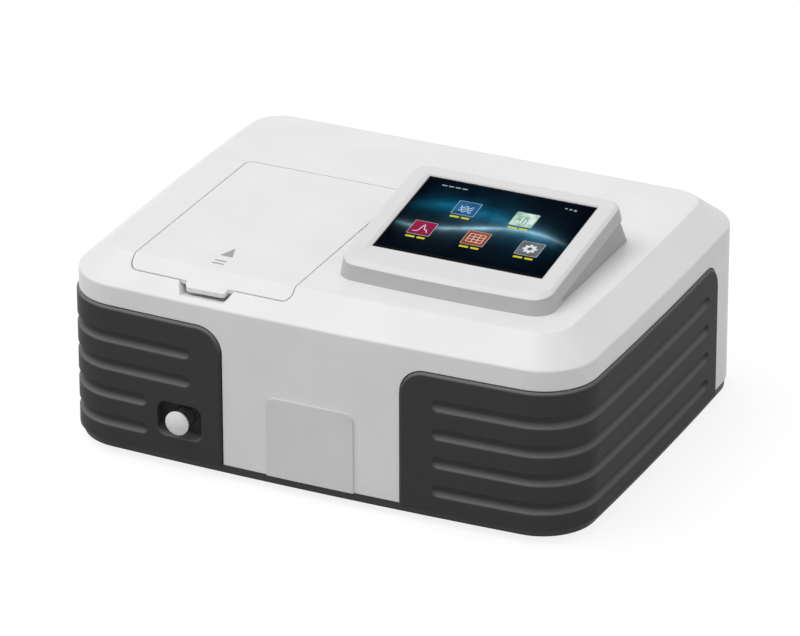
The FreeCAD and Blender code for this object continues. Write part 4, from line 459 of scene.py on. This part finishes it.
# ---------------------------------------------------------------- floor, light and camera
def stage_plane(name, half, z):
    mesh = bpy.data.meshes.new(name)
    mesh.from_pydata([(-half, -half, z), (half, -half, z), (half, half, z), (-half, half, z)], [],
                     [(0, 1, 2, 3)])
    made = bpy.data.objects.new(name, mesh)
    bpy.context.scene.collection.objects.link(made)
    return made


def seen(tree):
    """1 for rays that show the surroundings: from the camera, in a reflection or through glass."""
    rays = tree.nodes.new("ShaderNodeLightPath")
    total = rays.outputs["Is Camera Ray"]
    for way in ("Is Glossy Ray", "Is Transmission Ray"):
        either = tree.nodes.new("ShaderNodeMath")
        either.operation = "MAXIMUM"
        tree.links.new(total, either.inputs[0])
        tree.links.new(rays.outputs[way], either.inputs[1])
        total = either.outputs["Value"]
    return total


def either_way(tree, factor, hidden, shown, target):
    """One shader where factor is 0 and another where it is 1."""
    mix = tree.nodes.new("ShaderNodeMixShader")
    tree.links.new(factor, mix.inputs["Fac"])
    tree.links.new(hidden, mix.inputs[1])
    tree.links.new(shown, mix.inputs[2])
    tree.links.new(mix.outputs["Shader"], target)
    return mix


FILL, FLOOR_BOUNCE, FLOOR_LIFT, FLOOR_WHITE, FLOOR_GLOW = 0.47, 0.5, 0.78, 0.95, 1.08
floor = stage_plane("floor", 6.0, 0.0)
pale = bpy.data.materials.new("floor_white")
pale.use_nodes = True
floor_tree = pale.node_tree
bounce = floor_tree.nodes["Principled BSDF"]
bounce.inputs["Base Color"].default_value = (FLOOR_BOUNCE, FLOOR_BOUNCE, FLOOR_BOUNCE, 1)
bounce.inputs["Roughness"].default_value = 0.9
shadow_catch = floor_tree.nodes.new("ShaderNodeBsdfDiffuse")
shadow_catch.inputs["Color"].default_value = (FLOOR_WHITE, FLOOR_WHITE, FLOOR_WHITE, 1)
white_glow = floor_tree.nodes.new("ShaderNodeEmission")
lifted = floor_tree.nodes.new("ShaderNodeMixShader")
lifted.inputs["Fac"].default_value = FLOOR_LIFT
floor_tree.links.new(shadow_catch.outputs["BSDF"], lifted.inputs[1])
floor_tree.links.new(white_glow.outputs["Emission"], lifted.inputs[2])
white_glow.inputs["Strength"].default_value = FLOOR_GLOW
either_way(floor_tree, seen(floor_tree), bounce.outputs["BSDF"], lifted.outputs["Shader"],
           floor_tree.nodes["Material Output"].inputs["Surface"])
floor.data.materials.append(pale)

world = bpy.data.worlds.new("studio")
bpy.context.scene.world = world
world.use_nodes = True
sky = world.node_tree
sky.nodes.clear()
fill, white = sky.nodes.new("ShaderNodeBackground"), sky.nodes.new("ShaderNodeBackground")
fill.inputs["Color"].default_value = white.inputs["Color"].default_value = (1, 1, 1, 1)
fill.inputs["Strength"].default_value = FILL
white.inputs["Strength"].default_value = 1.0
either_way(sky, seen(sky), fill.outputs["Background"], white.outputs["Background"],
           sky.nodes.new("ShaderNodeOutputWorld").inputs["Surface"])

for name, energy, angle, gloss, toward in (("key", 1.5, 50, 1.0, (-0.37, -0.20, 0.90)),
                                           ("side", 0.29, 80, 0.2, (0.85, -0.12, 0.5))):
    lamp = bpy.data.lights.new(name, "SUN")
    lamp.energy = energy
    lamp.angle = math.radians(angle)
    lamp.specular_factor = gloss
    lamp_object = bpy.data.objects.new(name, lamp)
    lamp_object.rotation_euler = Vector(toward).to_track_quat("Z", "Y").to_euler()
    bpy.context.scene.collection.objects.link(lamp_object)

# the view the object is shown from: far away, a little above and to its right
AZIMUTH, ELEVATION, ROLL = math.radians(25.466), math.radians(25.389), math.radians(-0.1252)
AIM_HEIGHT, DISTANCE, ACROSS, DOWN, SCALE, FOCAL_LENGTH = 0.080, 4.81506, 0.004838, 0.001597, 1.0217, 263.28
back = Vector((math.sin(AZIMUTH) * math.cos(ELEVATION), -math.cos(AZIMUTH) * math.cos(ELEVATION),
               math.sin(ELEVATION)))
right = Vector((math.cos(AZIMUTH), math.sin(AZIMUTH), 0))
up = back.cross(right)
level = right * math.cos(ROLL) + up * math.sin(ROLL)
rise = up * math.cos(ROLL) - right * math.sin(ROLL)
eye = (Vector((0, 0, AIM_HEIGHT)) + back * DISTANCE - level * ACROSS - rise * DOWN) * SCALE
eye += Vector((0, CENTRE_Y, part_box("base_tray")[0][2]))
lens = bpy.data.cameras.new("camera")
lens.sensor_width = 36.0
lens.lens = FOCAL_LENGTH
lens.clip_end = 100.0
camera = bpy.data.objects.new("camera", lens)
camera.matrix_world = Matrix((
    (level.x, rise.x, back.x, eye.x), (level.y, rise.y, back.y, eye.y), (level.z, rise.z, back.z, eye.z),
    (0, 0, 0, 1)))
bpy.context.scene.collection.objects.link(camera)
bpy.context.scene.camera = camera
bpy.context.scene.view_settings.view_transform = "Standard"
